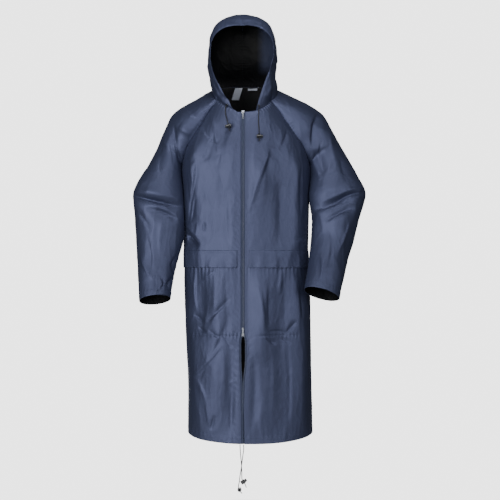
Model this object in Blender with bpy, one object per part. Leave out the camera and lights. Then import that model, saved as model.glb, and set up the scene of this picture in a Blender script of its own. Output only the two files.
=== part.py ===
"""Hooded raincoat, worn length, with raglan sleeves, a two-way zip, pocket flaps and drawcords.

The coat keeps the form of a general figure that isn't built. Metres, +Z up, the front faces -Y and
+X is the wearer's left. The origin lies between the shoulders, at the height of the neck.
Every cloth piece is a grid of outer points; neighbours share their seam points and normals, then each
piece is drawn in a little at its seams and given its wall inwards.
"""

import math

import bpy
import numpy as np
from mathutils import Matrix, Vector

MM = 0.001
COLLECTION = "hooded_raincoat"
NAMES = {-1: "right", 1: "left"}

# Cloth
WALL = 1.5 * MM
SEAM_GAP = 0.3 * MM
FLAP_LIFT = 2.2 * MM
UNDERARM_GAP = 0.7 * MM
UNDERARM_DROP = 0.6
UNDERARM_SLOPE = 0.2

# Grid sizes
FRONT_COLUMNS = 11
BACK_COLUMNS = 16
CAP_ROWS = 8
SLEEVE_COLUMNS = 14
HOOD_WALL_ROWS = 5
HOOD_ROOF_ROWS = 6
HOOD_START = 3

# How the front's rows rise from the zip to the seam at the neck and at the underarm, and how its
# columns crowd towards the zip
NECK_BEND = {"right": 0.85, "left": 1.4}
UNDERARM_BEND = 1.2
FRONT_CROWD = {"right": 1.25, "left": 1.0}

# Zip: its tape behind the cloth, and a bead that stands for the teeth of one side
NECK_FRONT_Z = -58 * MM
PLACKET = 20 * MM
TAPE_WIDTH = 8 * MM
TAPE_THICK = 1.0 * MM
BEAD_WIDTH = 2.4 * MM
BEAD_HEIGHT = 0.8 * MM

# Sliders, each with a back plate, a bridge between the parted teeth, and a bail that holds its pull tab
TOP_SLIDER_Z = -60.5 * MM
BOTTOM_SLIDER_Z = -843.5 * MM
PLATE = (9 * MM, 1.2 * MM, 11 * MM)
BRIDGE = (2.0 * MM, 3.2 * MM, 2.6 * MM)
BAIL_WIDTH = 1.6 * MM
BAIL_LENGTH = 6.2 * MM
BAIL_ROOM = 2.6 * MM
BAIL_BAR = 1.1 * MM
TAB_LENGTH = 26 * MM
TAB_THICK = 1.2 * MM
TAB_WIDTHS = (4.8 * MM, 6.0 * MM)
TAB_SLOT = (2.6 * MM, 4.4 * MM)
TAB_HOLE = 1.2 * MM
TAB_LEAN = math.radians(3.5)

# Cords and their locks: a barrel across the cord, closed at one end, and a button in its bore
CORD_DIAMETER = 3.2 * MM
LOCK_DIAMETER = 14 * MM
LOCK_CLOSED_END = -9 * MM
LOCK_OPEN_END = 6 * MM
LOCK_FLOOR = 2 * MM
BORE_DIAMETER = 9.6 * MM
CORD_HOLE = 4.0 * MM
STEM_DIAMETER = 9 * MM
STEM_END = -3.5 * MM
BUTTON_TRAVEL = 3 * MM
HEAD_DIAMETER = 11 * MM
HEAD_LENGTH = 3 * MM

# Eyelets
EYELET_RING = 3.5 * MM
EYELET_WIRE = 1.0 * MM
EYELET_CLEAR = 1.0 * MM

# Label inside the back of the neck: middle, top, width, length
LABEL = (-24 * MM, 54 * MM, 28 * MM, 42 * MM)
LABEL_LEAN = -14 * MM
LABEL_THICK = 1.0 * MM
LABEL_CLEAR = 0.7 * MM

NAVY = (0.055, 0.068, 0.125)
TAPE_NAVY = (0.03, 0.036, 0.06)
BLACK = (0.012, 0.012, 0.014)
NICKEL = (0.62, 0.63, 0.66)
WHITE = (0.75, 0.76, 0.78)


def table(columns, *rows):
    """A table in millimetres as one array of metres for each named column."""
    return {name: MM * np.array([row[i] for row in rows], float) for i, name in enumerate(columns.split())}


# Body: level, side seams, front at the zip, back at its middle.
BODY = table(
    "z     right left front back",
    (60, -104, 100, -84, 62),
    (0, -122, 118, -98, 88),
    (-45, -142, 138, -108, 103),
    (-93, -172, 170, -122, 115),
    (-150, -206, 206, -134, 124),
    (-200, -223, 226, -141, 130),
    (-246, -229, 236, -142, 134),
    (-330, -227, 235, -138, 136),
    (-430, -225, 232, -132, 132),
    (-549, -223, 229.5, -131, 130),
    (-620, -220, 231, -132, 133),
    (-700, -219.5, 236.5, -136, 138),
    (-860, -214, 239.5, -146, 144),
    (-1000, -208, 241, -152, 148),
    (-1206, -206, 245, -160, 152),
)
SIDE_Y = 6 * MM
SQUARE = 0.82
HEM_Z = -1206 * MM
HEM_DROP_FRONT = 17 * MM
HEM_DROP_BACK = 6 * MM
HEM_DROP_FROM_Z = -900 * MM
BACK_NECK_RISE = 8 * MM
BACK_NECK_CURVE = 0.8
UNDERARM_Z = -246 * MM
FLAP_TOP_Z = -549 * MM
FLAP_BOTTOM_Z = -609 * MM
# Rows of the body below the underarm: down to this level, in so many rows
LEVELS = ((FLAP_TOP_Z, 7), (FLAP_BOTTOM_Z, 3), (-838 * MM, 6), (-862 * MM, 1), (-900 * MM, 1), (HEM_Z, 8))

# Raglan seams from the neck to the underarm: distance from the middle, and level.
RAGLAN = table(
    "front front_z back back_z",
    (96, -12, 84, 50),
    (120, -48, 104, 2),
    (147, -91, 128, -54),
    (178, -136, 160, -114),
    (208, -184, 199, -178),
    (232, -246, 232, -246),
)
RAGLAN_T = np.linspace(0, 1, 6)

# Front edges: level, zip's middle, from it to the teeth, and to the cloth's edge.
OPENING = table(
    "z     middle teeth edge",
    (-58, -6.5, 0.15, 7.5),
    (-790, -6.5, 0.15, 7.5),
    (-838, -6.5, 0.15, 8.0),
    (-862, -6.0, 6.0, 12.6),
    (-900, -5.8, 6.8, 13.2),
    (-940, -5.8, 6.4, 12.6),
    (-985, -6.6, 3.2, 9.5),
    (-1100, -7.6, 0.6, 7.2),
    (-1225, -5.2, 0.3, 6.8),
)

# Sleeves: along the top of the shoulder down to the level of the underarm.
SHOULDER_T = np.linspace(0, 1, 6)
SHOULDER = {
    "right": table(
        "x    y  z depth",
        (-115, 0, 33, 68),
        (-160, 3, 12, 78),
        (-210, 5, -16, 85),
        (-262, 6, -51, 86),
        (-293, 6, -112, 80),
        (-328, 6, -194, 74),
    ),
    "left": table(
        "x    y  z depth",
        (115, 0, 33, 68),
        (168, 3, 13, 78),
        (222, 5, -12, 85),
        (278, 6, -47, 86),
        (316, 6, -110, 80),
        (358, 6, -184, 74),
    ),
}
# Sleeves below the underarm: outer edge, inner edge, middle and half its depth.
SLEEVE = {
    "right": table(
        "x    z     inner_x inner_z y  depth",
        (-328, -194, -229, -246, 6, 74),
        (-360, -256, -231, -286, -10, 73),
        (-388, -306, -227, -320, -28, 72),
        (-403, -346, -224, -352, -42, 69),
        (-401, -380, -221.5, -384, -48, 66),
        (-396, -430, -218.5, -432, -50, 63),
        (-392, -500, -218.5, -500, -52, 60),
        (-386, -570, -236, -568, -64, 57),
        (-380, -640, -252, -634, -86, 53),
        (-374, -700, -259, -690, -112, 48),
        (-371, -728, -261, -716, -124, 46),
    ),
    "left": table(
        "x    z     inner_x inner_z y  depth",
        (358, -184, 236, -246, 6, 74),
        (390, -244, 237.5, -286, -10, 73),
        (417, -298, 234.5, -320, -28, 72),
        (436, -344, 230.5, -354, -42, 70),
        (428, -384, 234, -388, -46, 67),
        (412, -432, 240, -430, -52, 64),
        (394, -498, 238, -490, -62, 61),
        (371, -568, 231, -552, -84, 57),
        (350, -640, 222, -614, -124, 52),
        (334, -692, 212, -660, -151, 48),
        (327, -718, 208, -682, -163, 46),
    ),
}
SLEEVE_ROWS = (1, 2, 2, 1, 1, 1, 1, 1, 1, 1)

# Hood: face edge from the neck up to the brim, and the line down its back.
HOOD_X = -9 * MM
HOOD_V = np.array([0.0, 0.12, 0.25, 0.38, 0.5])
HOOD_WALL = table(
    "half right left face_y face_z back_y back_z",
    (109, 38, 46, -101, -50, 62, 58),
    (113, 70, 66, -108, 14, 86, 84),
    (118, 97, 88, -110, 68, 106, 112),
    (121.5, 110, 104, -110, 108, 119, 140),
    (123.5, 113, 111, -110, 142, 125, 166),
)
BRIM_Y = -119 * MM
CROWN_BACK_Y = 84 * MM
CROWN_U = np.array([0.0, 0.15, 0.45, 0.75, 1.0])
CROWN_Z = MM * np.array([244, 276, 306, 304, 276])
HOOD_SQUARE = 0.72
HOOD_LEVEL = 0.8
HOOD_BLEND = 1.5
HOOD_SPREAD = 1.4

# Largest folds. Where: front, back, sleeve or hood; from and to (x, z); reach across; depth out.
FOLDS = (
    ("front", -60, -100, -175, -260, 26, -7),
    ("front", -172, -190, -205, -400, 26, 11),
    ("front", -120, -230, -110, -520, 34, -8),
    ("front", 15, -420, 72, -215, 26, 9),
    ("front", 110, -170, 150, -500, 34, -10),
    ("front", 190, -260, 175, -540, 26, 8),
    ("front", -165, -640, -155, -830, 34, -11),
    ("front", -95, -640, -110, -1150, 40, 10),
    ("front", 62, -650, 72, -900, 28, 12),
    ("front", 130, -640, 120, -1160, 40, -10),
    ("front", 200, -700, 205, -1180, 30, 10),
    ("front", -175, -880, -165, -1190, 34, 9),
    ("front", -40, -900, -50, -1180, 30, -7),
    ("back", -120, -150, -90, -620, 44, -11),
    ("back", 95, -130, 120, -560, 44, 11),
    ("back", 0, -260, -15, -900, 50, 10),
    ("back", -150, -700, -160, -1190, 44, 11),
    ("back", 70, -640, 60, -1190, 44, -11),
    ("back", 170, -760, 175, -1190, 40, 10),
    ("sleeve", -372, -345, -262, -372, 16, -10),
    ("sleeve", -392, -385, -300, -402, 20, 9),
    ("sleeve", -262, -80, -262, -190, 20, -9),
    ("sleeve", -330, -450, -350, -620, 26, 8),
    ("sleeve", 425, -350, 300, -385, 16, -10),
    ("sleeve", 400, -400, 270, -425, 20, 9),
    ("sleeve", 262, -70, 246, -170, 20, -9),
    ("sleeve", 350, -440, 300, -600, 26, 8),
    ("hood", -108, 46, -56, -22, 16, 6),
    ("hood", 96, 60, 60, -14, 18, 6),
)
FOLD_FACING = 1.6
FOLD_END = 0.12
FOLD_TAPER = 0.7
SEAM_CALM = {"hood": 16 * MM}
SEAM_CALM_ELSEWHERE = 35 * MM
SEAM_CALM_CURVE = 1.5
PLACKET_CALM = 20 * MM

# Hood eyelets, as a place between the hood's own rows and columns.
EYELETS = {"right": (0.15, 2.1), "left": (0.3, 0.5)}

# Hood cords below their eyelets: place across, level, how far off the cloth; its lock; its free end.
HOOD_CORDS = {
    "right": table(
        "x    z lift",
        (-68, -53, 4.2),
        (-66, -72, 3.4),
        (-61, -92, 5.6),
        (-57.4, -106, 8.0),
        (-56, -114, 8.2),
        (-54.6, -122, 8.2),
        (-53.4, -130, 7.0),
    ),
    "left": table(
        "x    z lift",
        (48.5, -56, 4.2),
        (48, -76, 3.0),
        (48.6, -104, 3.2),
        (49.4, -128, 5.8),
        (49.8, -142, 8.0),
        (50, -150, 8.2),
        (50.2, -158, 8.2),
        (51, -167, 7.0),
    ),
}
HOOD_LOCK_Z = {"right": -114 * MM, "left": -150 * MM}

# Hem cords from the hem's front corners to their free ends.
HEM_CORDS = {
    "right": table(
        "x      y     z",
        (-16.6, -158, -1224.6),
        (-15.8, -158, -1243),
        (-14.0, -157.5, -1266),
        (-11.6, -157, -1294),
        (-10.4, -156.5, -1318),
        (-10.2, -155.5, -1336),
        (-8.8, -154.6, -1347.6),
        (-4.4, -154.3, -1354.3),
        (0.0, -154.2, -1361.0),
        (5.4, -154, -1375),
    ),
    "left": table(
        "x      y     z",
        (-4.6, -159.5, -1224.8),
        (-3.6, -159.6, -1238),
        (-6.2, -160.6, -1259),
        (-9.2, -161.4, -1283),
        (-12.6, -162, -1308),
        (-16.2, -163.6, -1330),
        (-18.8, -165.4, -1352),
        (-21.4, -166, -1371.4),
        (-18.3, -166, -1378.6),
        (-15.2, -166, -1385.8),
        (-9.6, -166, -1392),
    ),
}
HEM_LOCKS = {"right": 7, "left": 8}
HEM_LOCK_AXES = {"right": (0.835, 0.0, 0.55), "left": (0.0, -1.0, 0.0)}


def smooth(keys, values, key):
    """Piecewise cubic through the keys, with slopes from the neighbours."""
    keys, values = np.asarray(keys, float), np.asarray(values, float)
    if keys[0] > keys[-1]:
        keys, values = keys[::-1], values[::-1]
    slopes = np.gradient(values, keys)
    key = np.clip(key, keys[0], keys[-1])
    i = np.clip(np.searchsorted(keys, key, side="right") - 1, 0, len(keys) - 2)
    h = keys[i + 1] - keys[i]
    s = (key - keys[i]) / h
    a = (1 + 2 * s) * (1 - s) ** 2 * values[i] + s * (1 - s) ** 2 * h * slopes[i]
    return a + s * s * (3 - 2 * s) * values[i + 1] + s * s * (s - 1) * h * slopes[i + 1]


def power(value, exponent):
    """A power that keeps the sign."""
    return np.sign(value) * np.abs(value) ** exponent


def unit(vector):
    return vector / max(np.linalg.norm(vector), 1e-12)


def body_at(name, z):
    return smooth(BODY["z"], BODY[name], z)


def opening_at(name, z):
    """A measure of the front edges, along straight lines between its rows."""
    return float(np.interp(z, OPENING["z"][::-1], OPENING[name][::-1]))


def body_angle(x, z):
    """The angle round the body, from the front, at which its front or back passes x."""
    middle = (body_at("left", z) + body_at("right", z)) / 2
    half = (body_at("left", z) - body_at("right", z)) / 2
    return math.asin(power(np.clip((x - middle) / half, -1, 1), 1 / SQUARE))


def body_point(angle, z):
    """A point of the body's outer surface: angle 0 is its front, 90 degrees its left side."""
    middle = (body_at("left", z) + body_at("right", z)) / 2
    half = (body_at("left", z) - body_at("right", z)) / 2
    reach = SIDE_Y - body_at("front", z) if math.cos(angle) > 0 else body_at("back", z) - SIDE_Y
    hem = max(0.0, (HEM_DROP_FROM_Z - z) / (HEM_DROP_FROM_Z - HEM_Z))
    drop = HEM_DROP_FRONT if math.cos(angle) > 0 else HEM_DROP_BACK
    x = middle + half * power(math.sin(angle), SQUARE)
    y = SIDE_Y - reach * power(math.cos(angle), SQUARE)
    return np.array([x, y, z - hem * drop * math.cos(angle) ** 2])


def raglan_point(side, which, t):
    """A point of a raglan seam, 0 at the neck and 1 at the underarm."""
    z = smooth(RAGLAN_T, RAGLAN[which + "_z"], t)
    if t > 0.999:
        return body_point(side * math.pi / 2, UNDERARM_Z)
    middle = (body_at("left", z) + body_at("right", z)) / 2
    angle = body_angle(middle + side * smooth(RAGLAN_T, RAGLAN[which], t), z)
    return body_point(angle if which == "front" else math.pi - angle, z)


def level_rows():
    """Levels of the body's rows from the underarm to the hem."""
    levels = [UNDERARM_Z]
    for bottom, rows in LEVELS:
        levels += list(np.linspace(levels[-1], bottom, rows + 1)[1:])
    return levels


def front_grid(side):
    """Rows from the neckline to the hem, columns from the zip to the raglan or side seam."""
    rows = []
    name = NAMES[side]
    spread = np.concatenate([[0], np.linspace(0, 1, FRONT_COLUMNS) ** FRONT_CROWD[name]])
    for t in np.linspace(0, 1, CAP_ROWS + 1):
        seam = raglan_point(side, "front", t)
        zip_z = NECK_FRONT_Z + (UNDERARM_Z - NECK_FRONT_Z) * t
        bend = NECK_BEND[name] + (UNDERARM_BEND - NECK_BEND[name]) * t
        rows.append(front_row(side, zip_z, seam, spread, bend))
    for z in level_rows()[1:]:
        rows.append(front_row(side, z, body_point(side * math.pi / 2, z), spread, 1.0))
    return np.array(rows)


def front_row(side, zip_z, seam, spread, bend):
    """One row: its first point is the cloth's edge, its second the placket's stitching."""
    middle = opening_at("middle", zip_z)
    at_side = abs(seam[1] - SIDE_Y) < 1e-9
    end = side * math.pi / 2 if at_side else body_angle(seam[0], seam[2])
    first = body_angle(middle + side * PLACKET, zip_z)
    row = [body_point(body_angle(middle + side * opening_at("edge", zip_z), zip_z), zip_z)]
    for s in spread[1:]:
        z = zip_z + (seam[2] - zip_z) * s**bend
        row.append(body_point(first + (end - first) * s, z))
    row[-1] = seam
    return row


def back_grid():
    """Rows from the neckline to the hem, columns from the right seam to the left one."""
    rows = []
    spread = np.linspace(0, 1, BACK_COLUMNS + 1)
    for t in np.linspace(0, 1, CAP_ROWS + 1):
        right, left = raglan_point(-1, "back", t), raglan_point(1, "back", t)
        rows.append(back_row(right, left, BACK_NECK_RISE * (1 - t), spread))
    for z in level_rows()[1:]:
        right, left = body_point(-math.pi / 2, z), body_point(math.pi / 2, z)
        rows.append(back_row(right, left, 0, spread))
    return np.array(rows)


def back_row(right, left, rise, spread):
    z = right[2]
    low, high = back_angle(right), back_angle(left)
    levels = z + rise * np.sin(math.pi * np.asarray(spread)) ** BACK_NECK_CURVE
    row = [body_point(low + (high - low) * s, level) for s, level in zip(spread, levels)]
    row[0], row[-1] = right, left
    return row


def back_angle(point):
    """Angle from the right side (90 degrees) through the back (180) to the left side (270)."""
    middle = (body_at("left", point[2]) + body_at("right", point[2])) / 2
    if abs(point[1] - SIDE_Y) < 1e-9:
        return -math.pi / 2 if point[0] < middle else -3 * math.pi / 2
    angle = body_angle(point[0], point[2])
    return -math.pi - angle


def sleeve_grid(side):
    """Rows from the neck to the cuff, columns round the sleeve from its front seam to its back seam."""
    name = "right" if side < 0 else "left"
    shoulder, lower = SHOULDER[name], SLEEVE[name]
    rows = []
    for t in np.linspace(0, 1, CAP_ROWS + 1)[:-1]:
        front, back = raglan_point(side, "front", t), raglan_point(side, "back", t)
        outer = np.array([smooth(SHOULDER_T, shoulder[c], t) for c in "xyz"])
        depth = smooth(SHOULDER_T, shoulder["depth"], t)
        rows.append(sleeve_arc(front, back, outer, depth))
    keys = np.arange(len(lower["x"]), dtype=float)
    wanted = [0.0]
    for i, count in enumerate(SLEEVE_ROWS):
        wanted += list(i + np.linspace(0, 1, count + 1)[1:])
    for key in wanted:
        rows.append(sleeve_ring(lower, keys, key))
    rows[CAP_ROWS][0] = rows[CAP_ROWS][-1] = body_point(side * math.pi / 2, UNDERARM_Z)
    return np.array(rows)


def sleeve_arc(front, back, outer, depth):
    half = np.linalg.norm(front - back) / 2
    spread = math.acos(min(1, half / depth))
    middle = (front + back) / 2
    across = (front - back) / (2 * half)
    out = outer - middle
    centre = middle + out * math.sin(spread) / (1 + math.sin(spread))
    radius = out / (1 + math.sin(spread))
    angles = np.linspace(-spread, math.pi + spread, SLEEVE_COLUMNS + 1)
    return [centre + radius * math.sin(a) + across * depth * math.cos(a) for a in angles]


def sleeve_ring(lower, keys, key):
    """A ring of the sleeve below the underarm, at a place between the table's rows."""

    def at(name, key):
        return smooth(keys, lower[name], key)

    def middle(key):
        x, z = at("x", key) + at("inner_x", key), at("z", key) + at("inner_z", key)
        return np.array([x / 2, at("y", key), z / 2])

    centre = middle(key)
    outer = np.array([at("x", key), at("y", key), at("z", key)])
    down = unit(middle(min(key + 0.5, keys[-1])) - middle(max(key - 0.5, 0)))
    front = unit(np.cross(down, outer - centre))
    front = front if front[1] < 0 else -front
    angles = np.linspace(-math.pi / 2, 1.5 * math.pi, SLEEVE_COLUMNS + 1)
    wide, deep = outer - centre, front * at("depth", key)
    ring = [centre + wide * math.sin(a) + deep * math.cos(a) for a in angles]
    ring[-1] = ring[0]
    return ring


def shares(line):
    """How far along a line each of its points lies, from 0 to 1."""
    steps = np.linalg.norm(np.diff(line, axis=0), axis=1)
    return np.concatenate([[0], np.cumsum(steps)]) / steps.sum()


def hood_grid(side, neck, s):
    """Rows from the neck seam up to the crown seam, columns from the face edge to the middle of the back."""
    face = "right" if side < 0 else "left"
    walls = [hood_row(side, face, v, s) for v in np.linspace(0, 0.5, HOOD_WALL_ROWS + 1)]
    fixed = np.array(neck)
    rows = []
    for i, row in enumerate(walls):
        fade = (1 - i / HOOD_WALL_ROWS) ** HOOD_BLEND
        rows.append(row + (fixed - walls[0]) * fade)
    for i in range(1, HOOD_ROOF_ROWS + 1):
        rows.append(hood_roof(side, walls[-1], i / HOOD_ROOF_ROWS, s))
    return np.array(rows)


def hood_row(side, face, v, s):
    at = {name: smooth(HOOD_V, HOOD_WALL[name], v) for name in HOOD_WALL}
    middle = HOOD_X * min(1, v / HOOD_V[2])
    ratio = at[face] / at["half"]
    start = math.asin(power(ratio, 1 / HOOD_SQUARE))
    reach = (SIDE_Y - at["face_y"]) / power(math.cos(start), HOOD_SQUARE)
    row = []
    for fraction in s:
        angle = start + (math.pi - start) * fraction**HOOD_SPREAD
        x = middle + side * at["half"] * power(math.sin(angle), HOOD_SQUARE)
        size = reach if angle < math.pi / 2 else at["back_y"] - SIDE_Y
        y = SIDE_Y - size * power(math.cos(angle), HOOD_SQUARE)
        row.append((x, y, at["face_z"] + (at["back_z"] - at["face_z"]) * fraction**HOOD_LEVEL))
    return np.array(row)


def hood_roof(side, wall, part, s):
    """Each column rises over the crown along a quarter of a rounded square."""
    angle = part * math.pi / 2
    out, up = power(math.cos(angle), HOOD_SQUARE), power(math.sin(angle), HOOD_SQUARE)
    out = 0.0 if part == 1 else out
    crown_y = BRIM_Y + (CROWN_BACK_Y - BRIM_Y) * s
    crown_z = smooth(CROWN_U, CROWN_Z, s)
    x = HOOD_X + (wall[:, 0] - HOOD_X) * out
    y = crown_y + (wall[:, 1] - crown_y) * out
    z = wall[:, 2] + (crown_z - wall[:, 2]) * up
    return np.stack([x, y, z], 1)


def fold_push(points, normals, kind, seams):
    """How far each point moves out for the folds of its kind of piece, none at a shared seam."""
    push = np.zeros(len(points))
    for where, x0, z0, x1, z1, reach, depth in FOLDS:
        if where != kind:
            continue
        start, end = MM * np.array([x0, z0]), MM * np.array([x1, z1])
        flat = points[:, [0, 2]]
        along = np.clip((flat - start) @ (end - start) / ((end - start) @ (end - start)), 0, 1)
        gap = np.linalg.norm(flat - (start + along[:, None] * (end - start)), axis=1)
        facing = np.clip(normals[:, 1] * (FOLD_FACING if where == "back" else -FOLD_FACING), 0, 1)
        taper = np.sin(math.pi * (FOLD_END + (1 - 2 * FOLD_END) * along)) ** FOLD_TAPER
        push += depth * MM * np.exp(-((gap / (reach * MM)) ** 2)) * facing * taper
    if kind == "front":
        push *= np.clip((np.abs(points[:, 0] - OPENING["middle"][0]) - PLACKET) / PLACKET_CALM, 0, 1)
    near = np.array([np.min(np.linalg.norm(seams - p, axis=1)) for p in points])
    calm = SEAM_CALM.get(kind, SEAM_CALM_ELSEWHERE)
    return push * np.clip((near - MM) / calm, 0, 1) ** SEAM_CALM_CURVE


class Piece:
    """A cloth piece: its outer points as rows and columns, and the faces between them."""

    def __init__(self, name, grid, kind, flip=False):
        self.name, self.kind = name, kind
        self.shape = grid.shape[:2]
        self.points = grid.reshape(-1, 3).copy()
        rows, columns = self.shape
        self.faces = []
        for i in range(rows - 1):
            for j in range(columns - 1):
                a, b = i * columns + j, i * columns + j + 1
                quad = (a, a + columns, b + columns, b)
                self.faces.append(quad[::-1] if flip else quad)


def key(point):
    return tuple(np.round(point / (0.02 * MM)).astype(int))


def common_normals(pieces):
    """One normal for each place, from every face that meets there."""
    sums = {}
    for piece in pieces:
        for face in piece.faces:
            p = piece.points[list(face)]
            normal = np.cross(p[2] - p[0], p[3] - p[1])
            for i in face:
                sums[key(piece.points[i])] = sums.get(key(piece.points[i]), 0) + normal
    for piece in pieces:
        piece.normals = np.array([unit(sums[key(p)]) for p in piece.points])


def part_underarms(pieces):
    """At the underarm the sleeve's wall and the body's face each other, so each gets its own normal."""
    for side in (-1, 1):
        underarm = key(body_point(side * math.pi / 2, UNDERARM_Z))
        for piece in pieces:
            for i, p in enumerate(piece.points):
                if key(p) != underarm:
                    continue
                if piece.kind == "sleeve":
                    piece.points[i] = p + UNDERARM_GAP * np.array([side, 0, -UNDERARM_DROP])
                    piece.normals[i] = unit(np.array([-side, 0, -1]))
                else:
                    piece.normals[i] = unit(np.array([side, 0, -UNDERARM_SLOPE]))


def shared_points(pieces):
    """The places where two pieces are sewn together."""
    owners = {}
    for piece in pieces:
        for p in piece.points:
            owners.setdefault(key(p), {})[piece.name] = p
    return np.array([list(found.values())[0] for found in owners.values() if len(found) > 1])


def triangles(points, faces):
    """Cuts each face along its shorter diagonal, so that both sides of a wall are cut alike."""
    cut = []
    for face in faces:
        if len(face) == 3:
            cut.append(face)
            continue
        a, b, c, d = face
        if np.linalg.norm(points[a] - points[c]) <= np.linalg.norm(points[b] - points[d]):
            cut += [(a, b, c), (a, c, d)]
        else:
            cut += [(a, b, d), (b, c, d)]
    return cut


def welded(piece):
    """Joins points at the same place, as where a sleeve closes on itself."""
    seen, order, points, normals = {}, [], [], []
    for p, n in zip(piece.points, piece.normals):
        k = key(p)
        if k not in seen:
            seen[k] = len(points)
            points.append(p)
            normals.append(n)
        order.append(seen[k])
    faces = []
    for face in piece.faces:
        loop = []
        for i in face:
            if order[i] not in loop:
                loop.append(order[i])
        if len(loop) > 2:
            faces.append(tuple(loop))
    return np.array(points), np.array(normals), faces


def rims(faces):
    """The open edges of a sheet, each as (from, to) the way its face runs."""
    edges = {(f[i], f[(i + 1) % len(f)]) for f in faces for i in range(len(f))}
    return [(a, b) for a, b in edges if (b, a) not in edges]


def draw_in(points, normals, faces, amount):
    """Moves the open edges into the sheet by the same distance all along."""
    moved = points.copy()
    into = {}
    for a, b in rims(faces):
        for i in (a, b):
            inward = unit(np.cross(normals[i], points[b] - points[a]))
            into.setdefault(i, []).append(inward)
    for i, ways in into.items():
        total = ways[0] if len(ways) == 1 else (ways[0] + ways[1]) / (1 + max(-0.5, ways[0] @ ways[1]))
        moved[i] = points[i] + amount * total
    return moved


def shell(points, normals, faces, lift, wall):
    """A closed wall whose outer side stands lift above the sheet."""
    outer = points + normals * np.reshape(lift, (-1, 1))
    inner = outer - normals * wall
    count = len(points)
    faces = triangles(points, faces)
    solid = [tuple(f) for f in faces] + [tuple(i + count for i in reversed(f)) for f in faces]
    points = np.concatenate([outer, inner])
    solid += triangles(points, [(b, a, a + count, b + count) for a, b in rims(faces)])
    return points, solid


def material(name, colour, roughness, metallic=0.0):
    found = bpy.data.materials.get(name)
    if found:
        return found
    made = bpy.data.materials.new(name)
    made.use_nodes = True
    shader = made.node_tree.nodes["Principled BSDF"]
    shader.inputs["Base Color"].default_value = (*colour, 1)
    shader.inputs["Roughness"].default_value = roughness
    shader.inputs["Metallic"].default_value = metallic
    return made


def add_mesh(name, points, faces, finish, smooth_angle=60):
    mesh = bpy.data.meshes.new(name)
    mesh.from_pydata([tuple(p) for p in points], [], faces)
    mesh.materials.append(finish)
    mesh.shade_smooth()
    mesh.set_sharp_from_angle(angle=math.radians(smooth_angle))
    return add_object(name, mesh)


def add_object(name, data, matrix=None):
    """A named object of the coat. Its matrix is its place in the world."""
    made = bpy.data.objects.new(name, data)
    bpy.data.collections[COLLECTION].objects.link(made)
    if matrix is not None:
        made.matrix_world = matrix
    return made


def add_cloth(piece, finish):
    points, normals, faces = welded(piece)
    points = draw_in(points, normals, faces, SEAM_GAP / 2)
    return add_mesh(piece.name, *shell(points, normals, faces, 0, WALL), finish)


def add_flap(name, front, finish):
    """A pocket flap from the front's own points, lifted, and standing off a little more at its lower edge."""
    rows, columns = front.shape
    levels = front.points.reshape(rows, columns, 3)[:, 1, 2]
    picked = [i for i, z in enumerate(levels) if FLAP_BOTTOM_Z - MM < z < FLAP_TOP_Z + MM]
    index = np.array([[i * columns + j for j in range(1, columns)] for i in picked])
    points = front.points[index.ravel()]
    normals = front.normals[index.ravel()]
    part = np.repeat(np.linspace(0, 1, len(picked)), columns - 1)
    wide = columns - 1
    faces = []
    for i in range(len(picked) - 1):
        for j in range(wide - 1):
            a, b = i * wide + j, i * wide + j + 1
            quad = (a, a + wide, b + wide, b)
            faces.append(quad[::-1] if name.endswith("right") else quad)
    points = draw_in(points, normals, faces, SEAM_GAP)
    lift = SEAM_GAP + WALL + FLAP_LIFT * part**1.5
    return add_mesh(name, *shell(points, normals, faces, lift, WALL), finish)


def add_zip(front, side, finish):
    """One side of the zip: its tape behind the front's edge, and the bead of its teeth on the tape."""
    columns = front.shape[1]
    sections = []
    for i in range(front.shape[0]):
        edge, stitching = i * columns, i * columns + 1
        start = front.points[edge] - WALL * front.normals[edge]
        behind = front.points[stitching] - WALL * front.normals[stitching]
        inward = unit(start - behind)
        out = unit(front.normals[edge] - inward * (front.normals[edge] @ inward))
        level = front.points[edge][2] if i < front.shape[0] - 1 else HEM_Z
        end = opening_at("edge", level) - opening_at("teeth", level)
        back = -SEAM_GAP - TAPE_THICK
        outline = (
            (-TAPE_WIDTH, back),
            (end, back),
            (end, BEAD_HEIGHT),
            (end - BEAD_WIDTH, BEAD_HEIGHT),
            (end - BEAD_WIDTH, -SEAM_GAP),
            (-TAPE_WIDTH, -SEAM_GAP),
        )
        sections.append([start + inward * a + out * b for a, b in outline])
    return add_mesh("zip_" + NAMES[side], *loft(sections, flip=side < 0), finish, 30)


def loft(sections, flip):
    """A closed solid through sections with the same number of points."""
    count = len(sections[0])
    faces = [tuple(range(count))]
    faces.append(tuple(reversed(range(len(sections) * count - count, len(sections) * count))))
    for i in range(len(sections) - 1):
        for j in range(count):
            a, b = i * count + j, i * count + (j + 1) % count
            faces.append((b, a, a + count, b + count))
    points = np.array(sections).reshape(-1, 3)
    return points, [face[::-1] for face in faces] if flip else faces


def chain_frame(fronts, z):
    """At the zip's middle: X across, Z up along the chain, -Y out of the coat; on the cloth's inner side."""

    def at(level):
        sides = []
        for front in fronts:
            columns = front.shape[1]
            edge = front.points[::columns] - WALL * front.normals[::columns]
            order = np.argsort(edge[:, 2])
            sides.append(np.array([np.interp(level, edge[order, 2], edge[order, i]) for i in range(3)]))
        return sides

    right, left = at(z)
    above, below = sum(at(z + 6 * MM)) / 2, sum(at(z - 6 * MM)) / 2
    return frame_of(left - right, above - below, (left + right) / 2)


def frame_of(x_axis, z_axis, origin):
    """A matrix from its Z axis, an X axis made square to it, and its origin."""
    up = Vector(unit(np.array(z_axis, float)))
    across = Vector(x_axis)
    across = (across - up * across.dot(up)).normalized()
    turn = Matrix((across, up.cross(across), up)).transposed().to_4x4()
    return Matrix.Translation(Vector(origin)) @ turn


def primitive_box(size, centre):
    bpy.ops.mesh.primitive_cube_add(size=1, location=centre, scale=size)
    return bpy.context.object


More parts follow.
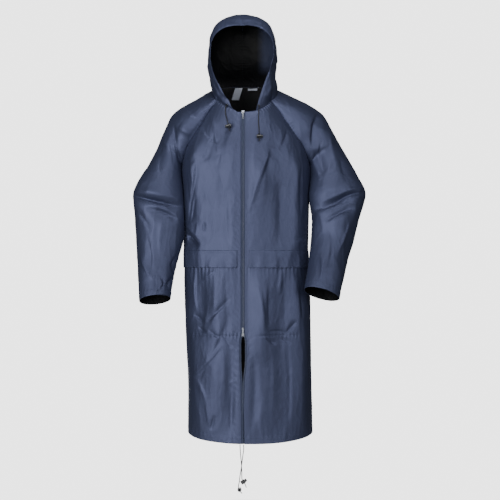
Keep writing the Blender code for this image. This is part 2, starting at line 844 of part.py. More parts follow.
def primitive_cylinder(diameter, start, end, axis, sides=16):
    """A cylinder through the origin's line along X or Z, from start to end."""
    rotation = (0, math.pi / 2, 0) if axis == "X" else (0, 0, 0)
    middle = (start + end) / 2
    centre = (middle, 0, 0) if axis == "X" else (0, 0, middle)
    bpy.ops.mesh.primitive_cylinder_add(
        vertices=sides, radius=diameter / 2, depth=end - start, location=centre, rotation=rotation
    )
    return bpy.context.object


def cut_mesh(name, base, steps, finish):
    """The mesh of a base piece after each Boolean step, with the pieces themselves removed."""
    for operation, other in steps:
        step = base.modifiers.new(operation.lower(), "BOOLEAN")
        step.operation = operation
        step.solver = "EXACT"
        step.object = other
    bpy.context.view_layer.update()
    ready = base.evaluated_get(bpy.context.evaluated_depsgraph_get())
    mesh = bpy.data.meshes.new_from_object(ready)
    mesh.transform(base.matrix_world)
    mesh.name = name
    mesh.materials.clear()
    mesh.materials.append(finish)
    mesh.shade_smooth()
    mesh.set_sharp_from_angle(angle=math.radians(30))
    for used in [base] + [other for _, other in steps]:
        bpy.data.objects.remove(used, do_unlink=True)
    return mesh


def slider_mesh(finish):
    """Both plates, the bridge at the end where the teeth part, and the bail over the pull tab's bar."""
    width, thick, length = PLATE
    front = BEAD_HEIGHT + SEAM_GAP + thick / 2
    back = -SEAM_GAP - TAPE_THICK - SEAM_GAP - thick / 2
    face = front + thick / 2
    top = face + BAIL_ROOM + BAIL_BAR / 2
    leg = BAIL_LENGTH / 2 - BAIL_BAR / 2
    leg_size = (BAIL_WIDTH, BAIL_ROOM + thick, BAIL_BAR)
    leg_y = -(face + BAIL_ROOM / 2 + 0.1 * MM)
    base = primitive_box(PLATE, (0, -front, 0))
    steps = [
        ("UNION", primitive_box(PLATE, (0, -back, 0))),
        ("UNION", primitive_box(BRIDGE, (0, -(front + back) / 2, length / 2 - BRIDGE[2] / 2))),
        ("UNION", primitive_box(leg_size, (0, leg_y, leg))),
        ("UNION", primitive_box(leg_size, (0, leg_y, -leg))),
        ("UNION", primitive_box((BAIL_WIDTH, BAIL_BAR, BAIL_LENGTH), (0, -top, 0))),
    ]
    return cut_mesh("slider", base, steps, finish)


def tab_axis_depth():
    """How far in front of the cloth's inner side the pull tab's bar turns."""
    return BEAD_HEIGHT + SEAM_GAP + PLATE[1] + BAIL_ROOM / 2


def tab_curve(finish):
    """A flat pull tab that hangs down -Y from the middle of its bar, with a slot for the bail."""
    bar = TAB_THICK / 2
    top, bottom = TAB_WIDTHS[0] / 2, TAB_WIDTHS[1] / 2
    turns = [math.radians(a) for a in range(0, 181, 30)]
    end = [(bottom * math.cos(a), -TAB_LENGTH + bottom - bottom * math.sin(a)) for a in turns]
    neck = [(-top, -TAB_LENGTH * 0.3), (-top, bar), (top, bar), (top, -TAB_LENGTH * 0.3)]
    slot_x, slot_end = TAB_SLOT[0] / 2, -bar - TAB_SLOT[1]
    slot = [(-slot_x, -bar), (slot_x, -bar), (slot_x, slot_end), (-slot_x, slot_end)]
    hole_y = -TAB_LENGTH + bottom + 1.5 * MM
    hole = [(TAB_HOLE * math.cos(a), hole_y + TAB_HOLE * math.sin(a)) for a in np.arange(8) * math.pi / 4]
    curve = bpy.data.curves.new("pull_tab", "CURVE")
    curve.dimensions = "2D"
    curve.fill_mode = "BOTH"
    curve.extrude = TAB_THICK / 2
    for loop in (end + neck, slot, hole):
        spline = curve.splines.new("POLY")
        spline.points.add(len(loop) - 1)
        spline.use_cyclic_u = True
        for point, (x, y) in zip(spline.points, loop):
            point.co = (x, y, 0, 1)
    curve.materials.append(finish)
    return curve


def add_sliders(fronts, metal):
    """The top slider's tab hangs down, and the bottom slider's is turned up against the chain."""
    slider, tab = slider_mesh(metal), tab_curve(metal)
    for name, level, turned in (("top", TOP_SLIDER_Z, False), ("bottom", BOTTOM_SLIDER_Z, True)):
        seat = chain_frame(fronts, level)
        over = Matrix.Rotation(math.pi, 4, "Y") if turned else Matrix.Identity(4)
        add_object("slider_" + name, slider, seat @ over)
        axis = Matrix.Translation((0, -tab_axis_depth(), 0))
        lean = math.pi - TAB_LEAN if turned else TAB_LEAN
        add_object("pull_" + name, tab, seat @ axis @ Matrix.Rotation(math.pi / 2 + lean, 4, "X"))


def lock_mesh(finish):
    """A barrel along X with its bore open at +X, and the cord's hole along Z through the origin."""
    wide = LOCK_DIAMETER
    base = primitive_cylinder(LOCK_DIAMETER, LOCK_CLOSED_END, LOCK_OPEN_END, "X")
    bore = primitive_cylinder(BORE_DIAMETER, LOCK_CLOSED_END + LOCK_FLOOR, LOCK_OPEN_END + wide, "X")
    steps = [("DIFFERENCE", bore), ("DIFFERENCE", primitive_cylinder(CORD_HOLE, -wide, wide, "Z", 12))]
    return cut_mesh("cord_lock", base, steps, finish)


def button_mesh(finish):
    """A stem with a slot that lets it slide past the cord, and the head that is pressed."""
    head = LOCK_OPEN_END + BUTTON_TRAVEL + SEAM_GAP
    half = CORD_DIAMETER / 2 + SEAM_GAP
    slot = (2 * half + BUTTON_TRAVEL, 2 * half, 2 * STEM_DIAMETER)
    base = primitive_cylinder(STEM_DIAMETER, STEM_END, head + HEAD_LENGTH / 2, "X")
    steps = [
        ("UNION", primitive_cylinder(HEAD_DIAMETER, head, head + HEAD_LENGTH, "X")),
        ("DIFFERENCE", primitive_box(slot, (BUTTON_TRAVEL / 2, 0, 0))),
    ]
    return cut_mesh("lock_button", base, steps, finish)


def surface_frame(x, z):
    """A point of the body's front and its normal."""
    step = MM
    angle = body_angle(x, z)
    point = body_point(angle, z)
    down, across = body_point(angle, z - step) - point, body_point(angle + step, z) - point
    return point, unit(np.cross(down, across))


def through(route):
    """Points every two or three diameters along a smooth curve through a route."""
    gone = np.concatenate([[0], np.cumsum(np.linalg.norm(np.diff(route, axis=0), axis=1))])
    count = int(math.ceil(gone[-1] / (2.2 * CORD_DIAMETER)))
    steps = np.linspace(0, gone[-1], count + 1)
    return np.array([[smooth(gone, route[:, i], s) for i in range(3)] for s in steps])


def add_cord(name, route, finish):
    curve = bpy.data.curves.new(name, "CURVE")
    curve.dimensions = "3D"
    curve.bevel_depth = CORD_DIAMETER / 2
    curve.bevel_resolution = 2
    curve.use_fill_caps = True
    points = through(route)
    spline = curve.splines.new("POLY")
    spline.points.add(len(points) - 1)
    for point, at in zip(spline.points, points):
        point.co = (*at, 1)
    curve.materials.append(finish)
    return add_object(name, curve)


def add_eyelet(name, hood, spot, finish):
    """A ring on the hood's corner. Returns its middle and the way out of it."""
    rows, columns = hood.shape
    row, column = int(spot[0]), int(spot[1])
    u, v = spot[0] - row, spot[1] - column
    corners = [(row, column, (1 - u) * (1 - v)), (row + 1, column, u * (1 - v))]
    corners += [(row, column + 1, (1 - u) * v), (row + 1, column + 1, u * v)]
    point = sum(share * hood.points[i * columns + j] for i, j, share in corners)
    a, b = hood.points[(row + 1) * columns + column], hood.points[row * columns + column + 1]
    c = hood.points[row * columns + column]
    out = unit(np.cross(a - c, b - c))
    out = out if out[1] < 0 else -out
    middle = point + out * (EYELET_WIRE + EYELET_CLEAR)
    bpy.ops.mesh.primitive_torus_add(
        major_radius=EYELET_RING, minor_radius=EYELET_WIRE, major_segments=16, minor_segments=6
    )
    ring = bpy.context.object
    mesh = ring.data.copy()
    bpy.data.objects.remove(ring, do_unlink=True)
    mesh.materials.append(finish)
    mesh.shade_smooth()
    add_object(name, mesh, frame_of((1, 0, 0), out, middle))
    return middle, out


def add_cords(hoods, cord, plastic, metal):
    """The hood's and the hem's drawcords, each with its eyelet or corner, its lock and its button."""
    lock, button = lock_mesh(plastic), button_mesh(plastic)
    for side, hood in hoods.items():
        name = NAMES[side]
        middle, out = add_eyelet("eyelet_" + name, hood, EYELETS[name], metal)
        below = HOOD_CORDS[name]
        route = [middle - out * 0.5 * MM, middle + out * 4 * MM]
        for x, z, lift in zip(below["x"], below["z"], below["lift"]):
            point, normal = surface_frame(x, z)
            route.append(point + normal * lift)
        at = 2 + int(np.argmin(abs(below["z"] - HOOD_LOCK_Z[name])))
        across = np.array([side, 0, 0])
        seat = frame_of(across, route[at - 1] - route[at + 1], route[at])
        add_cord("hood_cord_" + name, np.array(route), cord)
        add_object("lock_hood_" + name, lock, seat)
        add_object("button_hood_" + name, button, seat)
    for name, row in HEM_LOCKS.items():
        route = np.stack([HEM_CORDS[name][c] for c in "xyz"], 1)
        seat = frame_of(HEM_LOCK_AXES[name], route[row - 1] - route[row + 1], route[row])
        add_cord("hem_cord_" + name, route, cord)
        add_object("lock_hem_" + name, lock, seat)
        add_object("button_hem_" + name, button, seat)


def add_label(name, middle, top, width, length, finish):
    """A strip that hangs inside the back of the neck, bent as the back is."""
    rows = []
    for t in np.linspace(0, 1, 4):
        z, centre = top - length * t, middle + LABEL_LEAN * t
        xs = np.linspace(centre - width / 2, centre + width / 2, 5)
        rows.append([body_point(math.pi - body_angle(x, z), z) for x in xs])
    strip = Piece(name, np.array(rows), "label", flip=True)
    common_normals([strip])
    lift = -(WALL + LABEL_CLEAR)
    return add_mesh(name, *shell(strip.points, strip.normals, strip.faces, lift, LABEL_THICK), finish)


def cloth_pieces():
    """Every sewn piece, with the folds in its points and one normal for each shared place."""
    fronts = {side: front_grid(side) for side in NAMES}
    sleeves = {side: sleeve_grid(side) for side in NAMES}
    back = back_grid()
    pieces = {"back": Piece("back", back, "back", flip=True)}
    necks = {}
    for side in NAMES:
        back_neck = back[0][::-side][: BACK_COLUMNS // 2 + 1]
        necks[side] = list(fronts[side][0][HOOD_START:]) + list(sleeves[side][0][1:]) + list(back_neck[1:])
    columns = (shares(necks[-1]) + shares(necks[1])) / 2
    for side, name in NAMES.items():
        hood = hood_grid(side, necks[side], columns)
        pieces["front_" + name] = Piece("front_" + name, fronts[side], "front", flip=side < 0)
        pieces["sleeve_" + name] = Piece("sleeve_" + name, sleeves[side], "sleeve", flip=side < 0)
        pieces["hood_" + name] = Piece("hood_" + name, hood, "hood", flip=side > 0)
    every = list(pieces.values())
    common_normals(every)
    seams = shared_points(every)
    for piece in every:
        piece.points += piece.normals * fold_push(piece.points, piece.normals, piece.kind, seams)[:, None]
    common_normals(every)
    part_underarms(every)
    return pieces


def main():
    for old in list(bpy.data.objects):
        bpy.data.objects.remove(old, do_unlink=True)
    bpy.context.scene.collection.children.link(bpy.data.collections.new(COLLECTION))
    cloth = material("coated nylon", NAVY, 0.42)
    tape = material("zip tape", TAPE_NAVY, 0.7)
    metal = material("nickel", NICKEL, 0.3, 1.0)
    black = material("black plastic", BLACK, 0.45)
    cord = material("black cord", BLACK, 0.8)
    white = material("woven label", WHITE, 0.8)

    pieces = cloth_pieces()
    for piece in pieces.values():
        add_cloth(piece, cloth)
    for side, name in NAMES.items():
        add_flap("flap_" + name, pieces["front_" + name], cloth)
        add_zip(pieces["front_" + name], side, tape)
    add_sliders([pieces["front_right"], pieces["front_left"]], metal)
    add_label("neck_label", *LABEL, white)
    add_cords({side: pieces["hood_" + name] for side, name in NAMES.items()}, cord, black, metal)


main()
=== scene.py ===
"""Hooded raincoat: the finish of its cloth, sewing, zip, cords and trims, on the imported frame."""

import math
from functools import lru_cache

import bpy
import numpy as np
from bpy.props import FloatProperty, FloatVectorProperty, PointerProperty
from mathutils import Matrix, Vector, kdtree, noise


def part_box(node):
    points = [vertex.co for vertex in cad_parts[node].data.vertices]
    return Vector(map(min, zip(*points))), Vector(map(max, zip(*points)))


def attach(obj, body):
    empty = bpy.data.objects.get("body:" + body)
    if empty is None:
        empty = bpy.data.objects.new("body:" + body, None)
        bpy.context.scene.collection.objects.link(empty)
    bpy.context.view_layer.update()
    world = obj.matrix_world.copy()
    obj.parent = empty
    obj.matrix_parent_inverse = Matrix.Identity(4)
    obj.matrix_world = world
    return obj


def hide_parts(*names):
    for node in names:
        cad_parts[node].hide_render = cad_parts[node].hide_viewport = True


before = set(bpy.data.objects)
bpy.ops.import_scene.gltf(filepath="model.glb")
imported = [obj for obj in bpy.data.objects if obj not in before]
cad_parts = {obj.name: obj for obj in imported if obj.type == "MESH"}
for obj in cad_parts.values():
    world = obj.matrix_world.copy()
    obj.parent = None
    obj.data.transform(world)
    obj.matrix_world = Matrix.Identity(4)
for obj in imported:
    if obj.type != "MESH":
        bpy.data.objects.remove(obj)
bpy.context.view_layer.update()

bl_info = {
    "name": "Hooded Raincoat",
    "version": (1, 0, 0),
    "blender": (4, 5, 0),
    "location": "View3D > Sidebar > Raincoat",
    "description": "Dresses a hooded raincoat: cloth with its creases, sewing, zip, drawcords and trims",
    "category": "Object",
}

MM = 0.001
NAMES = {-1: "right", 1: "left"}
COAT = "coat"

# Cut of the cloth
NECK_FRONT_Z = -58 * MM
PLACKET = 20 * MM
# At the left underarm the sleeve's wall faces the body's: the gap between them, the way the sleeve
# moves off, and the normals of the two
UNDERARM_GAP = 0.7 * MM
UNDERARM_MOVE = (1, 0, -0.6)
SLEEVE_NORMAL = (-0.7, 0, -0.7)
BODY_NORMAL = (1, 0, -0.2)
# Points closer than this are one
SAME_POINT = 0.02 * MM

# Grid sizes
FRONT_COLUMNS = 11
BACK_COLUMNS = 16
CAP_ROWS = 8
SLEEVE_COLUMNS = 14
HOOD_WALL_ROWS = 5
HOOD_ROOF_ROWS = 6
HOOD_START = 3

# How the front's rows rise from the zip to the seam at the neck and at the underarm, and how its
# columns crowd towards the zip
NECK_BEND = {"right": 0.85, "left": 1.4}
UNDERARM_BEND = 1.2
FRONT_CROWD = {"right": 1.25, "left": 1.0}


def table(columns, *rows):
    """A table in millimetres as one array of metres for each named column."""
    return {name: MM * np.array([row[i] for row in rows], float) for i, name in enumerate(columns.split())}


# Body: level, side seams, front at the zip, back at its middle.
BODY = table(
    "z     right left front back",
    (60, -104, 100, -84, 62),
    (0, -122, 118, -98, 88),
    (-45, -142, 138, -108, 103),
    (-93, -172, 170, -122, 115),
    (-150, -206, 206, -134, 124),
    (-200, -223, 226, -141, 130),
    (-246, -229, 236, -142, 134),
    (-330, -227, 235, -138, 136),
    (-430, -225, 232, -132, 132),
    (-549, -223, 229.5, -131, 130),
    (-620, -220, 231, -132, 133),
    (-700, -219.5, 236.5, -136, 138),
    (-860, -214, 239.5, -146, 144),
    (-1000, -208, 241, -152, 148),
    (-1206, -206, 245, -160, 152),
)
SIDE_Y = 6 * MM
SQUARE = 0.82
HEM_Z = -1206 * MM
HEM_DROP_FRONT = 17 * MM
HEM_DROP_BACK = 6 * MM
HEM_DROP_FROM_Z = -900 * MM
BACK_NECK_RISE = 8 * MM
BACK_NECK_BEND = 0.8
UNDERARM_Z = -246 * MM
FLAP_TOP_Z = -549 * MM
FLAP_BOTTOM_Z = -609 * MM
# Rows of the body below the underarm: down to this level, in so many rows
LEVELS = ((FLAP_TOP_Z, 7), (FLAP_BOTTOM_Z, 3), (-838 * MM, 6), (-862 * MM, 1), (-900 * MM, 1), (HEM_Z, 8))

# Raglan seams from the neck to the underarm: distance from the middle, and level.
RAGLAN = table(
    "front front_z back back_z",
    (96, -12, 84, 50),
    (120, -48, 104, 2),
    (147, -91, 128, -54),
    (178, -136, 160, -114),
    (208, -184, 199, -178),
    (232, -246, 232, -246),
)
RAGLAN_T = np.linspace(0, 1, 6)

# Front edges: level, zip's middle, from it to the teeth, and to the cloth's edge.
OPENING = table(
    "z     middle teeth edge",
    (-58, -6.5, 0.15, 7.5),
    (-790, -6.5, 0.15, 7.5),
    (-838, -6.5, 0.15, 8.0),
    (-862, -6.0, 6.0, 12.6),
    (-900, -5.8, 6.8, 13.2),
    (-940, -5.8, 6.4, 12.6),
    (-985, -6.6, 3.2, 9.5),
    (-1100, -7.6, 0.6, 7.2),
    (-1225, -5.2, 0.3, 6.8),
)

# Sleeves: along the top of the shoulder down to the level of the underarm.
SHOULDER_T = np.linspace(0, 1, 6)
SHOULDER = {
    "right": table(
        "x    y  z depth",
        (-115, 0, 33, 68),
        (-160, 3, 12, 78),
        (-210, 5, -16, 85),
        (-262, 6, -51, 86),
        (-293, 6, -112, 80),
        (-328, 6, -194, 74),
    ),
    "left": table(
        "x    y  z depth",
        (115, 0, 33, 68),
        (168, 3, 13, 78),
        (222, 5, -12, 85),
        (278, 6, -47, 86),
        (316, 6, -110, 80),
        (358, 6, -184, 74),
    ),
}
# Sleeves below the underarm: outer edge, inner edge, middle and half its depth.
SLEEVE = {
    "right": table(
        "x    z     inner_x inner_z y  depth",
        (-328, -194, -229, -246, 6, 74),
        (-360, -256, -231, -286, -10, 73),
        (-388, -306, -227, -320, -28, 72),
        (-403, -346, -224, -352, -42, 69),
        (-401, -380, -221.5, -384, -48, 66),
        (-396, -430, -218.5, -432, -50, 63),
        (-392, -500, -218.5, -500, -52, 60),
        (-386, -570, -236, -568, -64, 57),
        (-380, -640, -252, -634, -86, 53),
        (-374, -700, -259, -690, -112, 48),
        (-371, -728, -261, -716, -124, 46),
    ),
    "left": table(
        "x    z     inner_x inner_z y  depth",
        (358, -184, 236, -246, 6, 74),
        (390, -244, 237.5, -286, -10, 73),
        (417, -298, 234.5, -320, -28, 72),
        (436, -344, 230.5, -354, -42, 70),
        (428, -384, 234, -388, -46, 67),
        (412, -432, 240, -430, -52, 64),
        (394, -498, 238, -490, -62, 61),
        (371, -568, 231, -552, -84, 57),
        (350, -640, 222, -614, -124, 52),
        (334, -692, 212, -660, -151, 48),
        (327, -718, 208, -682, -163, 46),
    ),
}
SLEEVE_ROWS = (1, 2, 2, 1, 1, 1, 1, 1, 1, 1)

# Hood: face edge from the neck up to the brim, and the line down its back.
HOOD_X = -9 * MM
HOOD_V = np.array([0.0, 0.12, 0.25, 0.38, 0.5])
HOOD_WALL = table(
    "half right left face_y face_z back_y back_z",
    (109, 38, 46, -101, -50, 62, 58),
    (113, 70, 66, -108, 14, 86, 84),
    (118, 97, 88, -110, 68, 106, 112),
    (121.5, 110, 104, -110, 108, 119, 140),
    (123.5, 113, 111, -110, 142, 125, 166),
)
BRIM_Y = -119 * MM
CROWN_BACK_Y = 84 * MM
CROWN_U = np.array([0.0, 0.15, 0.45, 0.75, 1.0])
CROWN_Z = MM * np.array([244, 276, 306, 304, 276])
HOOD_SQUARE = 0.72
HOOD_SPREAD = 1.4
# How the hood's wall settles on the neckline, reaches its own middle, and rises to the back
HOOD_FADE = 1.5
HOOD_MIDDLE_V = 0.25
HOOD_RISE = 0.8

# Largest folds of each kind of piece: from and to (x, z), reach across, depth out, in millimetres.
FOLDS = {
    "front": (
        (-60, -100, -175, -260, 26, -7),
        (-172, -190, -205, -400, 26, 11),
        (-120, -230, -110, -520, 34, -8),
        (15, -420, 72, -215, 26, 9),
        (110, -170, 150, -500, 34, -10),
        (190, -260, 175, -540, 26, 8),
        (-165, -640, -155, -830, 34, -11),
        (-95, -640, -110, -1150, 40, 10),
        (62, -650, 72, -900, 28, 12),
        (130, -640, 120, -1160, 40, -10),
        (200, -700, 205, -1180, 30, 10),
        (-175, -880, -165, -1190, 34, 9),
        (-40, -900, -50, -1180, 30, -7),
    ),
    "back": (
        (-120, -150, -90, -620, 44, -11),
        (95, -130, 120, -560, 44, 11),
        (0, -260, -15, -900, 50, 10),
        (-150, -700, -160, -1190, 44, 11),
        (70, -640, 60, -1190, 44, -11),
        (170, -760, 175, -1190, 40, 10),
    ),
    "sleeve": (
        (-372, -345, -262, -372, 16, -10),
        (-392, -385, -300, -402, 20, 9),
        (-262, -80, -262, -190, 20, -9),
        (-330, -450, -350, -620, 26, 8),
        (425, -350, 300, -385, 16, -10),
        (400, -400, 270, -425, 20, 9),
        (262, -70, 246, -170, 20, -9),
        (350, -440, 300, -600, 26, 8),
    ),
    "hood": (
        (-108, 46, -56, -22, 16, 6),
        (96, 60, 60, -14, 18, 6),
    ),
}
SEAM_CALM = {"hood": 16 * MM}
SEAM_CALM_ELSEWHERE = 35 * MM
PLACKET_CALM = 20 * MM
# How soon a fold shows on cloth that faces its view, and how its ends fade
FOLD_FACING = 1.6
FOLD_END = 0.12
FOLD_TAPER = 0.7
FOLD_CALM = 1.5

# Hood cords below their eyelets: place across, level, how far off the cloth.
HOOD_CORDS = {
    "right": table(
        "x    z lift",
        (-68, -53, 4.2),
        (-66, -72, 3.4),
        (-61, -92, 5.6),
        (-57.4, -106, 8.0),
        (-56, -114, 8.2),
        (-54.6, -122, 8.2),
        (-53.4, -130, 7.0),
    ),
    "left": table(
        "x    z lift",
        (48.5, -56, 4.2),
        (48, -76, 3.0),
        (48.6, -104, 3.2),
        (49.4, -128, 5.8),
        (49.8, -142, 8.0),
        (50, -150, 8.2),
        (50.2, -158, 8.2),
        (51, -167, 7.0),
    ),
}

# Hem cords from the hem's front corners to their free ends.
HEM_CORDS = {
    "right": table(
        "x      y     z",
        (-16.6, -158, -1224.6),
        (-15.8, -158, -1243),
        (-14.0, -157.5, -1266),
        (-11.6, -157, -1294),
        (-10.4, -156.5, -1318),
        (-10.2, -155.5, -1336),
        (-8.8, -154.6, -1347.6),
        (-4.4, -154.3, -1354.3),
        (0.0, -154.2, -1361.0),
        (5.4, -154, -1375),
    ),
    "left": table(
        "x      y     z",
        (-4.6, -159.5, -1224.8),
        (-3.6, -159.6, -1238),
        (-6.2, -160.6, -1259),
        (-9.2, -161.4, -1283),
        (-12.6, -162, -1308),
        (-16.2, -163.6, -1330),
        (-18.8, -165.4, -1352),
        (-21.4, -166, -1371.4),
        (-18.3, -166, -1378.6),
        (-15.2, -166, -1385.8),
        (-9.6, -166, -1392),
    ),
}

# Fine points for each interval of a piece's own grid, down it and across it
FINE = {"front": (11, 9), "back": (8, 6), "sleeve": (10, 12), "hood": (9, 7)}
HOOD_FRONT_COLUMNS = FRONT_COLUMNS - HOOD_START
# Where the neighbour at each edge changes, in the piece's own rows or columns
BREAKS = {
    "front": {"top": [HOOD_START], "last": [CAP_ROWS]},
    "back": {"top": [BACK_COLUMNS // 2], "first": [CAP_ROWS], "last": [CAP_ROWS]},
    "sleeve": {"first": [CAP_ROWS], "last": [CAP_ROWS]},
    "hood": {"top": [HOOD_FRONT_COLUMNS, HOOD_FRONT_COLUMNS + SLEEVE_COLUMNS]},
}
RELAX_STEPS = 8

# The views that creases are drawn in: the pieces, the two axes, and the way out of the coat
VIEWS = {
    "front": ("front", (0, 2), (0, -1, 0)),
    "back": ("back", (0, 2), (0, 1, 0)),
    "sleeve": ("sleeve", (0, 2), (0, -1, 0)),
    "sleeve_back": ("sleeve", (0, 2), (0, 1, 0)),
    "hood": ("hood", (0, 2), (0, -1, 0)),
    "hood_right": ("hood_right", (1, 2), (-1, 0, 0)),
    "hood_left": ("hood_left", (1, 2), (1, 0, 0)),
    "underarm_right": ("sleeve_right", (1, 2), (1, 0, 0)),
}

